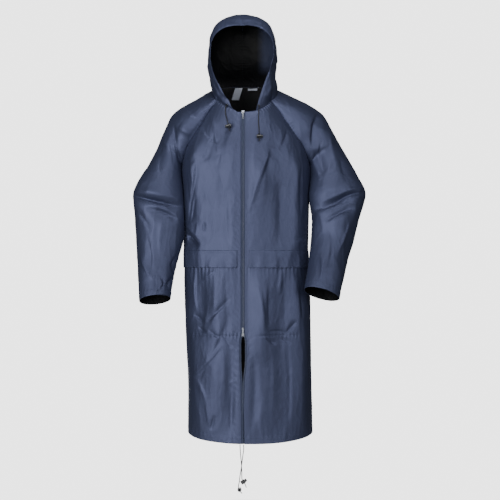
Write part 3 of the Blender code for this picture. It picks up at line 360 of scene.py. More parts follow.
# Creases listed in each view: half-width, depth out, lean to one side, and the path, in millimetres
CREASES = {
    "front": (
        # right front
        (6, -4.5, 0.6, ((-148, -112), (-130, -146), (-92, -172))),
        (7, -5.5, 0.5, ((-170, -222), (-183, -330), (-193, -376), (-200, -449))),
        (6, -4, 0.4, ((-176, -352), (-184, -400), (-190, -449))),
        (5, -3.5, 0.4, ((-144, -446), (-146, -464), (-147, -482))),
        (7, 3.5, 0.3, ((-168, -449), (-170, -475), (-171, -500))),
        (10, 3.5, 0.3, ((-120, -88), (-104, -140), (-96, -210))),
        (16, -3.5, 0.0, ((-60, -96), (-78, -170), (-96, -260))),
        (9, 3, 0.5, ((-196, -196), (-190, -270), (-176, -352))),
        (12, -3, -0.4, ((-210, -262), (-204, -330), (-192, -420))),
        (10, 5, 0.5, ((-212, -452), (-186, -484), (-158, -512))),
        (4, -7, 0.0, ((-220, -482), (-198, -508), (-170, -530))),
        (12, -14, -0.5, ((-224, -478), (-200, -504), (-160, -532))),
        (7, -3, 0.5, ((-212, -516), (-192, -530), (-170, -546))),
        (18, 3, 0.2, ((-140, -300), (-132, -400), (-138, -520))),
        (14, -3.5, -0.3, ((-60, -330), (-66, -430), (-58, -540))),
        (7, 4.5, -0.5, ((-172, -614), (-177, -700), (-170, -764))),
        (6, -5.5, 0.6, ((-131, -800), (-87, -754), (-48, -715))),
        (6, -4.5, 0.4, ((-180, -776), (-160, -792), (-148, -802))),
        (15, -5, 0.4, ((-52, -757), (-104, -897), (-174, -1001))),
        (7, 5, -0.5, ((-80, -879), (-128, -939), (-177, -991))),
        (9, 3, -0.4, ((-170, -1001), (-146, -1047), (-135, -1085))),
        (5, -5, 0.5, ((-107, -1124), (-114, -1150), (-121, -1176))),
        (9, 2.5, 0.4, ((-139, -1071), (-132, -1120), (-125, -1169))),
        (5, -3.5, 0.4, ((-163, -820), (-150, -832), (-135, -838))),
        (5, -3.5, 0.5, ((-128, -827), (-110, -843), (-90, -855))),
        (5, -3.5, 0.4, ((-73, -848), (-62, -870), (-48, -893))),
        (7, 3.5, 0.4, ((-146, -656), (-122, -634), (-100, -617))),
        (15, 3.5, 0.2, ((-110, -620), (-104, -700), (-112, -800))),
        (12, -3, 0.3, ((-70, -626), (-66, -720), (-60, -836))),
        (8, -4, 0.5, ((-22, -918), (-25, -946), (-27, -978))),
        (7, 2.5, 0.4, ((-16, -986), (-34, -1002), (-60, -1012))),
        (13, 3, -0.3, ((-76, -900), (-70, -990), (-76, -1110))),
        (9, -2.5, 0.3, ((-44, -1040), (-50, -1110), (-46, -1196))),
        # left front
        (11, -4, 0.4, ((94, -190), (80, -246), (62, -304))),
        (8, 5, -0.5, ((88, -209), (66, -260), (45, -320), (9, -430))),
        (9, -3.5, 0.5, ((150, -112), (142, -150), (120, -196))),
        (14, 3, 0.0, ((176, -200), (186, -280), (182, -380))),
        (10, -3.5, 0.4, ((204, -240), (196, -320), (200, -430))),
        (16, -3, 0.2, ((120, -300), (126, -420), (118, -540))),
        (8, 2.5, 0.5, ((222, -500), (198, -512), (170, -520))),
        (7, 5.5, -0.4, ((50, -670), (64, -757), (70, -844))),
        (8, 4, 0.3, ((128, -617), (124, -660), (120, -705))),
        (6, -6, 0.5, ((137, -848), (162, -824), (182, -799))),
        (8, -4.5, 0.4, ((192, -687), (200, -740), (203, -792))),
        (5, -3.5, 0.4, ((74, -855), (92, -869), (109, -879))),
        (5, -3.5, 0.5, ((123, -855), (142, -866), (158, -883))),
        (4, -3, 0.3, ((81, -836), (116, -833), (151, -844))),
        (6, -4, 0.4, ((18, -879), (13, -910), (6, -939))),
        (16, -5, 0.2, ((25, -904), (32, -1071), (18, -1190))),
        (7, -3, 0.4, ((84, -660), (82, -740), (86, -838))),
        (15, -3.5, 0.2, ((134, -626), (142, -720), (136, -836))),
        (12, 3, -0.3, ((186, -640), (192, -740), (188, -840))),
        (14, 3.5, 0.3, ((92, -870), (98, -1000), (92, -1160))),
        (11, -3.5, -0.4, ((150, -880), (158, -1000), (150, -1180))),
        (16, 3, 0.2, ((206, -880), (202, -1010), (208, -1190))),
        (8, 2, 0.4, ((60, -1060), (54, -1120), (60, -1200))),
    ),
    "sleeve": (
        # right sleeve
        (9, -4, 0.4, ((-206, -40), (-190, -60), (-164, -86))),
        (20, 6, 0.6, ((-238, -108), (-215, -124), (-191, -139))),
        (7, -7, 0.6, ((-252, -96), (-253, -140), (-246, -186), (-236, -236), (-229, -296))),
        (7, -3.5, 0.4, ((-224, -232), (-224, -260), (-224, -298))),
        (11, 4, -0.3, ((-268, -110), (-270, -180), (-258, -262))),
        (13, -3.5, 0.2, ((-296, -140), (-304, -210), (-300, -290))),
        (14, 6, 0.6, ((-396, -338), (-350, -342), (-292, -354), (-226, -370))),
        (13, -14, -0.5, ((-402, -352), (-350, -362), (-292, -376), (-222, -392))),
        (8, 4.5, 0.5, ((-350, -384), (-320, -390), (-262, -412))),
        (13, -9, -0.5, ((-356, -402), (-304, -410), (-240, -438))),
        (4, -9, 0.0, ((-402, -354), (-350, -366), (-300, -378), (-226, -392))),
        (4, -6, 0.0, ((-318, -398), (-282, -414), (-246, -436))),
        (6, -7, 0.4, ((-238, -560), (-258, -604), (-250, -636), (-284, -672))),
        (5, -6, -0.4, ((-262, -588), (-244, -630), (-268, -668), (-262, -690))),
        (5, -5, 0.4, ((-300, -640), (-284, -660), (-304, -690))),
        (8, -3.5, 0.4, ((-382, -414), (-356, -442), (-336, -486))),
        (11, 3.5, 0.3, ((-286, -430), (-300, -500), (-296, -576))),
        (9, -3.5, -0.4, ((-346, -500), (-330, -570), (-338, -640))),
        (8, 3, 0.4, ((-372, -560), (-352, -610), (-320, -650))),
        (9, -3, 0.4, ((-300, -610), (-312, -650), (-300, -694))),
        # left sleeve
        (7, -7, 0.5, ((264, -54), (246, -92), (240, -134), (238, -180))),
        (10, 4.5, -0.3, ((240, -198), (246, -224), (257, -257), (270, -298))),
        (8, -4.5, 0.5, ((280, -140), (268, -188), (273, -228), (281, -270))),
        (12, 3.5, 0.2, ((306, -110), (312, -180), (330, -262))),
        (12, -3.5, 0.3, ((340, -200), (350, -270), (372, -326))),
        (14, 6, 0.6, ((424, -326), (377, -332), (323, -356), (256, -384))),
        (13, -14, -0.5, ((430, -342), (377, -350), (323, -376), (246, -404))),
        (4, -9, 0.0, ((430, -344), (377, -354), (323, -382), (250, -406))),
        (4, -6, 0.0, ((372, -402), (330, -416), (286, -446))),
        (8, 4, 0.5, ((400, -378), (350, -386), (300, -412))),
        (13, -9, -0.5, ((392, -398), (340, -412), (280, -446))),
        (8, 3.5, 0.4, ((372, -440), (352, -500), (322, -556))),
        (9, -3.5, 0.4, ((300, -480), (304, -540), (286, -606))),
        (9, 3, 0.4, ((262, -560), (268, -610), (252, -664))),
    ),
    "underarm_right": (
        (45, 3.5, 0.0, ((-20, -190), (-50, -310), (-70, -490))),
    ),
    "hood": (
        (6, 4, 0.3, ((-115, 16), (-100, -9), (-79, -26), (-60, -42))),
        (6, -9, -0.5, ((-104, 34), (-84, 2), (-62, -18), (-40, -32))),
        (5, -10, -0.5, ((-120, 34), (-110, 8), (-92, -14), (-70, -34))),
        (5, -9, -0.5, ((-88, 46), (-70, 14), (-52, -6), (-34, -18))),
        (5, -7, 0.5, ((-112, 52), (-104, 26), (-96, 8), (-84, -8))),
        (5, 4, -0.5, ((-96, 40), (-78, 10), (-58, -12))),
        (8, 3.5, 0.3, ((96, 60), (88, 20), (70, -14))),
        (7, -3, 0.4, ((110, 40), (98, 6), (84, -20))),
    ),
    "hood_right": (
        (12, -4, 0.3, ((-84, 52), (-40, 66), (10, 92))),
        (14, 3.5, 0.2, ((-90, 120), (-40, 112), (24, 132))),
        (10, -3, 0.4, ((-70, 186), (-20, 180), (34, 206))),
        (10, 3, 0.3, ((-30, 30), (0, 60), (50, 84))),
    ),
    "hood_left": (
        (13, -4, 0.2, ((-80, 60), (-30, 70), (14, 104))),
        (11, 3.5, 0.4, ((-94, 140), (-46, 132), (10, 150))),
        (12, -3, 0.3, ((-60, 200), (-10, 190), (44, 196))),
        (9, 3, 0.3, ((-40, 26), (-4, 50), (44, 90))),
    ),
    "back": (
        (14, -4, 0.3, ((-60, 20), (-70, -80), (-64, -200))),
        (12, 4, -0.3, ((48, 10), (64, -90), (56, -230))),
        (10, -4.5, 0.5, ((-176, -150), (-160, -230), (-120, -320))),
        (11, -4, -0.5, ((178, -160), (158, -250), (110, -340))),
        (16, 4, 0.2, ((-96, -300), (-104, -460), (-90, -640))),
        (13, -4, 0.3, ((20, -340), (30, -520), (18, -720))),
        (15, 4, -0.3, ((112, -380), (120, -560), (108, -760))),
        (12, -4, 0.4, ((-150, -640), (-158, -820), (-146, -1010))),
        (14, 4, 0.2, ((-44, -700), (-52, -900), (-42, -1120))),
        (12, -4, -0.3, ((84, -820), (92, -980), (84, -1170))),
        (15, 4, 0.3, ((172, -860), (180, -1000), (170, -1190))),
        (10, -3, 0.4, ((-110, -1010), (-116, -1090), (-110, -1190))),
    ),
    "sleeve_back": (
        (10, -4.5, 0.4, ((-214, -60), (-226, -130), (-232, -210))),
        (12, 4, 0.3, ((-276, -120), (-284, -210), (-280, -300))),
        (13, 4, 0.2, ((-392, -338), (-340, -350), (-268, -372))),
        (12, -4, 0.3, ((-384, -400), (-330, -410), (-270, -436))),
        (11, 3.5, 0.4, ((-340, -480), (-332, -560), (-346, -640))),
        (10, -4.5, 0.4, ((216, -66), (232, -130), (236, -216))),
        (12, 4, 0.3, ((292, -110), (300, -200), (310, -290))),
        (13, 4, 0.2, ((420, -336), (360, -348), (282, -380))),
        (12, -4, 0.3, ((406, -392), (346, -408), (284, -444))),
        (11, 3.5, 0.4, ((352, -470), (326, -540), (300, -620))),
    ),
}

# Soft rumpling: the pieces, how far apart its waves are along X, Y and Z, depth, and how sharp
RUMPLES = (
    ("front", (90, 90, 240), 1.5, 0),
    ("front", (70, 60, 210), 1.4, 2),
    ("front", (34, 34, 90), 0.6, 3),
    ("front", (19, 19, 44), 0.35, 2),
    ("front", (13, 13, 20), 0.22, 0),
    ("back", (90, 90, 240), 2.2, 0),
    ("back", (74, 60, 220), 1.8, 2),
    ("back", (36, 36, 90), 0.8, 3),
    ("back", (13, 13, 20), 0.22, 0),
    ("sleeve", (62, 62, 170), 1.5, 0),
    ("sleeve", (54, 54, 150), 1.2, 2),
    ("sleeve", (30, 30, 60), 0.6, 3),
    ("sleeve", (12, 12, 16), 0.22, 0),
    ("hood", (60, 60, 60), 1.6, 0),
    ("hood", (50, 50, 50), 1.5, 2),
    ("hood", (26, 26, 28), 0.7, 3),
    ("hood", (11, 11, 12), 0.22, 0),
)
CREASE_CALM = 14 * MM
# A crease's long slope and its short one
CREASE_SLANT = 1.3
CREASE_SHARPEST = 0.5
# Steps between a path's points, how soon it shows on cloth that faces its view, how many half-widths
# it reaches, how it falls off across and fades at its ends
CREASE_STEPS = 6
CREASE_FACING = 1.8
CREASE_REACH = 4
CREASE_FALL = 1.5
CREASE_TAPER = 0.8
# What is left of the creases at the zip, and where they begin and grow beside it
ZIP_CREASES = 0.15
ZIP_CREASES_FROM = 6 * MM
ZIP_CREASES_GROW = 26 * MM
# Each rumple's own place in the noise, and how narrow its ridges are
RUMPLE_SHIFT = 3.7
RIDGE_NARROW = 2.4
# Valley along the raglan seams: how far the cloth fills it, how wide, and where along the seam, from
# 0 at the neck to 1 at the underarm, the filling has grown, ends, and begins to fade before that
RAGLAN_FILL = 4 * MM
RAGLAN_REACH = 18 * MM
RAGLAN_GROWS = 0.2
RAGLAN_END = 0.95
RAGLAN_FADES = 0.3
RAGLAN_WAY = (0.5, 1, 0)

# Below the open zip the fronts close over the tapes
LAP = 2 * MM
LAP_Z = -960 * MM
LAP_GROWS = 60 * MM
LAP_REACH = 14 * MM

# The hood's cut edges stay crisp, so that its crown seam hardly shows
HOOD_EDGE_ANGLE = math.radians(60)

# Seam allowances, hems and the hood's casing are low steps in the cloth
SEAM_BAND = 7 * MM
SEAM_RISE = 0.35 * MM
HOOD_SEAM_SHARE = 0.3
HEM_BAND = 22 * MM
CUFF_BAND = 20 * MM
CASING_BAND = 19 * MM
BAND_START = 1.6 * MM
BAND_FALL = 3 * MM
# The cord inside the casing: how far from the face edge, how wide, how high
CASING_CORD = 8 * MM
CASING_CORD_WIDTH = 5 * MM
CASING_RISE = 0.6 * MM
# How far from a seam what meets it has its full depth: hems and gathers, casing, cord
SEAM_CLEAR = 10 * MM
CASING_CLEAR = 8 * MM
CORD_CLEAR = 6 * MM
# Puckers of each line of sewing: from one to the next, how wide they lie beside it, and a seed
PUCKERS = {
    "seam": (10 * MM, 12 * MM, 1.0),
    "hem": (15 * MM, 9 * MM, 2.0),
    "cuff": (13 * MM, 9 * MM, 3.0),
    "casing": (12 * MM, 6 * MM, 4.0),
    "pocket": (12 * MM, 9 * MM, 5.0),
    "gathers": (14 * MM, 26 * MM, 6.0),
    "placket": (23 * MM, 34 * MM, 7.0),
}
# Slow waves along the puckers: two that shift them and one that swells them, by how much, and over
# how many puckers
PUCKER_WAVES = ((0.35, 4.3), (0.2, 1.9), (0.35, 3.1))
PUCKER_START = 3 * MM
PUCKER_FALL = 1.5
PUCKER_DEPTH = 0.7 * MM
HEM_PUCKERS = 0.8 * PUCKER_DEPTH
PLACKET_PUCKERS = {"right": 0.5 * MM, "left": 0.25 * MM}
PLACKET_START = 9 * MM
PLACKET_SLANT = 0.6
# Stitched line of the inner pockets: level, from and to, its ends, and the groove under the thread
POCKET_LINE_Z = -847 * MM
POCKET_LINES = {"right": (-198 * MM, -17 * MM), "left": (36 * MM, 193 * MM)}
POCKET_ENDS = 8 * MM
POCKET_PUCKERS = 1.1 * MM
POCKET_GROOVE = 0.8 * MM
POCKET_GROOVE_WIDTH = 4 * MM
# Gathers that hang from the flaps' lower edge, and how far up under them they begin
GATHER_DEPTH = 1.1 * MM
GATHER_UNDER = 4 * MM
# Painted light on the film of the hood's left wall, where light would fall inside the hood: from where to
# where it grows along X and Z
PAINTED_LIGHT_X = (44 * MM, 74 * MM)
PAINTED_LIGHT_Z = (104 * MM, 150 * MM)

# Camera and studio. Each light: its place, what it points at, its size, and its watts.
CAMERA_PLACE = (18.25 * MM, -3400 * MM, -547 * MM)
CAMERA_ANGLE = math.radians(30.05)
FLOOR_Z = -1620 * MM
FLOOR_RADIUS = 0.6
SURROUND = 0.06
SURROUND_COLOUR = (0.9, 0.94, 1, 1)
FLOOR_GLOW = 1.3
BACKDROP = 3.2
LIGHTS = {
    "key": ((-1.35, -2.45, -0.45), (0.05, 0.0, -0.45), (2.0, 2.0), 77),
    "fill": ((1.4, -2.4, 0.05), (0.05, 0.0, -0.35), (1.5, 1.5), 30),
    "top": ((0.0, -0.7, 0.8), (0.0, -0.05, 0.25), (0.4, 0.3), 7),
    "back": ((-0.3, 2.7, -1.0), (0.0, 0.0, -0.4), (1.4, 1.4), 75),
    "back_fill": ((0.4, 2.8, -1.0), (0.0, 0.0, -0.4), (0.8, 1.2), 20),
}

# Flaps: how far they stand off the front where they are sewn, just below, and along the lower edge,
# how soon below the sewing, their sewn ends, and the wave of the lower edge
FLAP_SEWN = 0.9 * MM
FLAP_TOP_LIFT = 1.8 * MM
FLAP_LIFT = 2.2 * MM
FLAP_TURN = 5
FLAP_BEND = 1.5
FLAP_ENDS = 12 * MM
FLAP_END_SHARE = 0.45
FLAP_WAVE = 1.3 * MM
FLAP_WAVE_LENGTH = 46 * MM
FLAP_WAVE_SEED = 1.5

# Zip
TAPE_WIDTH = 8 * MM
TAPE_DROP = 1.8 * MM
TAPE_SHOWN = 0.5 * MM
TOOTH_REACH = 2.2 * MM
TOOTH_PAST = 0.5 * MM
TOOTH_HEIGHT = 1.5 * MM
# Half a tooth at its root in pitches, and how much narrower and lower its tip is
TOOTH_HALF = 0.32
TOOTH_NARROWS = 0.7
TOOTH_LOWERS = 0.8
TOOTH_SHARP = math.radians(30)
# Where the first tooth sits, in pitches: the two sides take turns
FIRST_TOOTH = {"right": 0.25, "left": 0.75}
TAPE_CROWN = 0.05 * MM
# Near the hem the left tape lies behind the right one
TUCK_Z = -1080 * MM
TUCK_LENGTH = 70 * MM
TUCK_BEHIND = 2.2 * MM
TUCK_PAST = 2.4 * MM

# Cords
CORD_DIAMETER = 3.2 * MM
BRAID_STEP = 1.3 * MM
BRAID_SIDES = 12
BRAID_TURN = 5.2 * MM
BRAID_RELIEF = 0.07
BRAID_CARRIERS = 3
# A way that no cord runs in, to measure its turn from
BRAID_ASIDE = (0.3, 1, 0.2)
BRAID_ENDS = (0.4 * MM, 0.6 * MM)
# Where a hood cord starts behind its eyelet, and how far it stands out before it drops
CORD_BEHIND = 0.5 * MM
CORD_OUT = 4 * MM

# Label and loop inside the back of the neck: middle, top, width, length; how far each leans
LABEL = (-24 * MM, 54 * MM, 28 * MM, 42 * MM)
LOOP = (29 * MM, 53 * MM, 36 * MM, 7.3 * MM)
LEANS = {"label": -14 * MM, "hanging_loop": 0}
LABEL_SHOWN = 0.5 * MM
LABEL_CLEAR = 2.2 * MM
STRIP_ROWS = 15
STRIP_COLUMNS = 17

# Stitch lines: in from a seam or the zip's edge, along the placket, and inside a hem's fold.
# A stitch's own form is in its lengths along, and in thread thicknesses across and up.
SEAM_STITCH = 5 * MM
PLACKET_STITCH = 20 * MM
HEM_STITCH = 1.5 * MM
THREAD_RISE = 0.1 * MM
# How far before and after a stitch its direction is read
STITCH_REACH = 0.5 * MM
STITCH_RING = ((0.5, 0.0), (0.0, 0.55), (-0.5, 0.0), (0.0, -0.4))
STITCH_TIP = (0.5, 0, -0.1)
STITCH_SHOULDER = 0.3


def curve(keys, values, at, edge_order=2):
    """Cubic through the values at their keys, with slopes from the neighbours, for every column at once."""
    slopes = np.gradient(values, keys, axis=0, edge_order=edge_order)
    i = np.clip(np.searchsorted(keys, at, side="right") - 1, 0, len(keys) - 2)
    h = keys[i + 1] - keys[i]
    s = (at - keys[i]) / h
    if values.ndim > 1:
        h, s = (part.reshape((-1,) + (1,) * (values.ndim - 1)) for part in (h, s))
    a = (1 + 2 * s) * (1 - s) ** 2 * values[i] + s * (1 - s) ** 2 * h * slopes[i]
    return a + s * s * (3 - 2 * s) * values[i + 1] + s * s * (s - 1) * h * slopes[i + 1]


def smooth(keys, values, at):
    """Such a cubic through one row of values, its keys rising or falling, and level past its ends."""
    keys, values = np.asarray(keys, float), np.asarray(values, float)
    if keys[0] > keys[-1]:
        keys, values = keys[::-1], values[::-1]
    return curve(keys, values, np.clip(at, keys[0], keys[-1]), edge_order=1)


def power(value, exponent):
    """A power that keeps the sign."""
    return np.sign(value) * np.abs(value) ** exponent


def unit(vector):
    """The vector at length 1."""
    return vector / max(np.linalg.norm(vector), 1e-12)


def units(vectors):
    """Each vector along the last axis, at length 1."""
    return vectors / np.maximum(np.linalg.norm(vectors, axis=-1, keepdims=True), 1e-15)


def body_at(name, z):
    """A measure of the body at a level."""
    return smooth(BODY["z"], BODY[name], z)


def body_span(z):
    """The middle of the body at a level, and half its width."""
    left, right = body_at("left", z), body_at("right", z)
    return (left + right) / 2, (left - right) / 2


def on_side_seam(point):
    """Whether a point lies where front and back meet below the underarm."""
    return abs(point[1] - SIDE_Y) < 1e-9


def opening_at(name, z):
    """A measure of the front edges, along straight lines between its rows."""
    return float(np.interp(z, OPENING["z"][::-1], OPENING[name][::-1]))


def body_angle(x, z):
    """The angle round the body, from the front, at which its front or back passes x."""
    middle, half = body_span(z)
    return math.asin(power(np.clip((x - middle) / half, -1, 1), 1 / SQUARE))


def body_point(angle, z):
    """A point of the body's outer surface: angle 0 is its front, 90 degrees its left side."""
    middle, half = body_span(z)
    reach = SIDE_Y - body_at("front", z) if math.cos(angle) > 0 else body_at("back", z) - SIDE_Y
    hem = max(0.0, (HEM_DROP_FROM_Z - z) / (HEM_DROP_FROM_Z - HEM_Z))
    drop = HEM_DROP_FRONT if math.cos(angle) > 0 else HEM_DROP_BACK
    x = middle + half * power(math.sin(angle), SQUARE)
    y = SIDE_Y - reach * power(math.cos(angle), SQUARE)
    return np.array([x, y, z - hem * drop * math.cos(angle) ** 2])


def raglan_point(side, which, t):
    """A point of a raglan seam, 0 at the neck and 1 at the underarm."""
    z = smooth(RAGLAN_T, RAGLAN[which + "_z"], t)
    if t > 0.999:
        return body_point(side * math.pi / 2, UNDERARM_Z)
    angle = body_angle(body_span(z)[0] + side * smooth(RAGLAN_T, RAGLAN[which], t), z)
    return body_point(angle if which == "front" else math.pi - angle, z)


def level_rows():
    """Levels of the body's rows from the underarm to the hem."""
    levels = [UNDERARM_Z]
    for bottom, rows in LEVELS:
        levels += list(np.linspace(levels[-1], bottom, rows + 1)[1:])
    return levels


def front_grid(side):
    """Rows from the neckline to the hem, columns from the zip to the raglan or side seam."""
    rows = []
    name = NAMES[side]
    spread = np.concatenate([[0], np.linspace(0, 1, FRONT_COLUMNS) ** FRONT_CROWD[name]])
    for t in np.linspace(0, 1, CAP_ROWS + 1):
        seam = raglan_point(side, "front", t)
        zip_z = NECK_FRONT_Z + (UNDERARM_Z - NECK_FRONT_Z) * t
        bend = NECK_BEND[name] + (UNDERARM_BEND - NECK_BEND[name]) * t
        rows.append(front_row(side, zip_z, seam, spread, bend))
    for z in level_rows()[1:]:
        rows.append(front_row(side, z, body_point(side * math.pi / 2, z), spread, 1.0))
    return np.array(rows)


def front_row(side, zip_z, seam, spread, bend):
    """One row: its first point is the cloth's edge, its second the placket's stitching."""
    middle = opening_at("middle", zip_z)
    end = side * math.pi / 2 if on_side_seam(seam) else body_angle(seam[0], seam[2])
    first = body_angle(middle + side * PLACKET, zip_z)
    row = [body_point(body_angle(middle + side * opening_at("edge", zip_z), zip_z), zip_z)]
    for s in spread[1:]:
        z = zip_z + (seam[2] - zip_z) * s**bend
        row.append(body_point(first + (end - first) * s, z))
    row[-1] = seam
    return row


def back_grid():
    """Rows from the neckline to the hem, columns from the right seam to the left one."""
    rows = []
    spread = np.linspace(0, 1, BACK_COLUMNS + 1)
    for t in np.linspace(0, 1, CAP_ROWS + 1):
        right, left = raglan_point(-1, "back", t), raglan_point(1, "back", t)
        rows.append(back_row(right, left, BACK_NECK_RISE * (1 - t), spread))
    for z in level_rows()[1:]:
        right, left = body_point(-math.pi / 2, z), body_point(math.pi / 2, z)
        rows.append(back_row(right, left, 0, spread))
    return np.array(rows)


def back_row(right, left, rise, spread):
    """One row from seam to seam, raised in its middle."""
    z = right[2]
    low, high = back_angle(right), back_angle(left)
    lifts = [rise * math.sin(math.pi * s) ** BACK_NECK_BEND for s in spread]
    row = [body_point(low + (high - low) * s, z + lift) for s, lift in zip(spread, lifts)]
    row[0], row[-1] = right, left
    return row


def back_angle(point):
    """Angle from the right side (-90 degrees) through the back (-180) to the left side (-270)."""
    if on_side_seam(point):
        return -math.pi / 2 if point[0] < body_span(point[2])[0] else -3 * math.pi / 2
    return -math.pi - body_angle(point[0], point[2])


def sleeve_grid(side):
    """Rows from the neck to the cuff, columns round the sleeve from its front seam to its back seam."""
    shoulder, lower = SHOULDER[NAMES[side]], SLEEVE[NAMES[side]]
    rows = []
    for t in np.linspace(0, 1, CAP_ROWS + 1)[:-1]:
        front, back = raglan_point(side, "front", t), raglan_point(side, "back", t)
        outer = np.array([smooth(SHOULDER_T, shoulder[c], t) for c in "xyz"])
        depth = smooth(SHOULDER_T, shoulder["depth"], t)
        rows.append(sleeve_arc(front, back, outer, depth))
    keys = np.arange(len(lower["x"]), dtype=float)
    wanted = [0.0]
    for i, count in enumerate(SLEEVE_ROWS):
        wanted += list(i + np.linspace(0, 1, count + 1)[1:])
    for key in wanted:
        rows.append(sleeve_ring(lower, keys, key))
    rows[CAP_ROWS][0] = rows[CAP_ROWS][-1] = body_point(side * math.pi / 2, UNDERARM_Z)
    return np.array(rows)


def sleeve_arc(front, back, outer, depth):
    """A row of the sleeve's cap: an arc from one raglan seam over the shoulder's outer edge to the other."""
    half = np.linalg.norm(front - back) / 2
    spread = math.acos(min(1, half / depth))
    middle = (front + back) / 2
    across = (front - back) / (2 * half)
    out = outer - middle
    centre = middle + out * math.sin(spread) / (1 + math.sin(spread))
    radius = out / (1 + math.sin(spread))
    angles = np.linspace(-spread, math.pi + spread, SLEEVE_COLUMNS + 1)
    return [centre + radius * math.sin(a) + across * depth * math.cos(a) for a in angles]


def sleeve_ring(lower, keys, key):
    """A ring of the sleeve below the underarm, at a place between the table's rows."""

    def at(name, key):
        return smooth(keys, lower[name], key)

    def middle(key):
        x, z = at("x", key) + at("inner_x", key), at("z", key) + at("inner_z", key)
        return np.array([x / 2, at("y", key), z / 2])

    centre = middle(key)
    outer = np.array([at("x", key), at("y", key), at("z", key)])
    down = unit(middle(min(key + 0.5, keys[-1])) - middle(max(key - 0.5, 0)))
    front = unit(np.cross(down, outer - centre))
    front = front if front[1] < 0 else -front
    angles = np.linspace(-math.pi / 2, 1.5 * math.pi, SLEEVE_COLUMNS + 1)
    wide, deep = outer - centre, front * at("depth", key)
    ring = [centre + wide * math.sin(a) + deep * math.cos(a) for a in angles]
    ring[-1] = ring[0]
    return ring


def shares(line):
    """How far along a line each of its points lies, from 0 to 1."""
    steps = np.linalg.norm(np.diff(line, axis=0), axis=1)
    return np.concatenate([[0], np.cumsum(steps)]) / steps.sum()


def hood_grid(side, neck, s):
    """Rows from the neck seam up to the crown seam, columns from the face edge to the middle of the back."""
    walls = [hood_row(side, v, s) for v in np.linspace(0, HOOD_V[-1], HOOD_WALL_ROWS + 1)]
    move = np.array(neck) - walls[0]
    rows = [row + move * (1 - i / HOOD_WALL_ROWS) ** HOOD_FADE for i, row in enumerate(walls)]
    rows += [hood_roof(walls[-1], i / HOOD_ROOF_ROWS, s) for i in range(1, HOOD_ROOF_ROWS + 1)]
    return np.array(rows)


def hood_row(side, v, s):
    """A row of the hood's wall, from the face edge round to the middle of the back."""
    at = {name: smooth(HOOD_V, HOOD_WALL[name], v) for name in HOOD_WALL}
    middle = HOOD_X * min(1, v / HOOD_MIDDLE_V)
    ratio = at[NAMES[side]] / at["half"]
    start = math.asin(power(ratio, 1 / HOOD_SQUARE))
    reach = (SIDE_Y - at["face_y"]) / power(math.cos(start), HOOD_SQUARE)
    row = []
    for fraction in s:
        angle = start + (math.pi - start) * fraction**HOOD_SPREAD
        x = middle + side * at["half"] * power(math.sin(angle), HOOD_SQUARE)
        size = reach if angle < math.pi / 2 else at["back_y"] - SIDE_Y
        y = SIDE_Y - size * power(math.cos(angle), HOOD_SQUARE)
        row.append((x, y, at["face_z"] + (at["back_z"] - at["face_z"]) * fraction**HOOD_RISE))
    return np.array(row)


def hood_roof(wall, part, s):
    """Each column rises over the crown along a quarter of a rounded square."""
    angle = part * math.pi / 2
    out, up = power(math.cos(angle), HOOD_SQUARE), power(math.sin(angle), HOOD_SQUARE)
    out = 0.0 if part == 1 else out
    crown_y = BRIM_Y + (CROWN_BACK_Y - BRIM_Y) * s
    crown_z = smooth(CROWN_U, CROWN_Z, s)
    x = HOOD_X + (wall[:, 0] - HOOD_X) * out
    y = crown_y + (wall[:, 1] - crown_y) * out
    z = wall[:, 2] + (crown_z - wall[:, 2]) * up
    return np.stack([x, y, z], 1)


def fold_push(points, normals, kind, seams):
    """How far each point moves out for the folds of its kind of piece, none at a shared seam."""
    push = np.zeros(len(points))
    flat = points[:, [0, 2]]
    facing = np.clip(normals[:, 1] * (FOLD_FACING if kind == "back" else -FOLD_FACING), 0, 1)
    for x0, z0, x1, z1, reach, depth in FOLDS[kind]:
        start, end = MM * np.array([x0, z0]), MM * np.array([x1, z1])
        along = np.clip((flat - start) @ (end - start) / ((end - start) @ (end - start)), 0, 1)
        gap = np.linalg.norm(flat - (start + along[:, None] * (end - start)), axis=1)
        taper = np.sin(math.pi * np.clip(FOLD_END + (1 - 2 * FOLD_END) * along, 0, 1)) ** FOLD_TAPER
        push += depth * MM * np.exp(-((gap / (reach * MM)) ** 2)) * facing * taper
    if kind == "front":
        push *= np.clip((np.abs(points[:, 0] - OPENING["middle"][0]) - PLACKET) / PLACKET_CALM, 0, 1)
    near = np.array([np.min(np.linalg.norm(seams - p, axis=1)) for p in points])
    calm = SEAM_CALM.get(kind, SEAM_CALM_ELSEWHERE)
    return push * np.clip((near - MM) / calm, 0, 1) ** FOLD_CALM


class Piece:
    """A cloth piece: its outer points as rows and columns, and the faces between them."""

    def __init__(self, name, grid, kind, flip=False):
        self.name, self.kind, self.flip = name, kind, flip
        self.shape = grid.shape[:2]
        self.points = grid.reshape(-1, 3).copy()
        rows, columns = self.shape
        self.faces = []
        for i in range(rows - 1):
            for j in range(columns - 1):
                a, b = i * columns + j, i * columns + j + 1
                quad = (a, a + columns, b + columns, b)
                self.faces.append(quad[::-1] if flip else quad)


def key(point):
    """A point's place, as a name that every piece with that point agrees on."""
    return tuple(np.round(point / SAME_POINT).astype(int))


def common_normals(pieces):
    """One normal for each place, from every face that meets there."""
    sums = {}
    for piece in pieces:
        for face in piece.faces:
            p = piece.points[list(face)]
            normal = np.cross(p[2] - p[0], p[3] - p[1])
            for i in face:
                place = key(piece.points[i])
                sums[place] = sums.get(place, 0) + normal
    for piece in pieces:
        piece.normals = np.array([unit(sums[key(p)]) for p in piece.points])


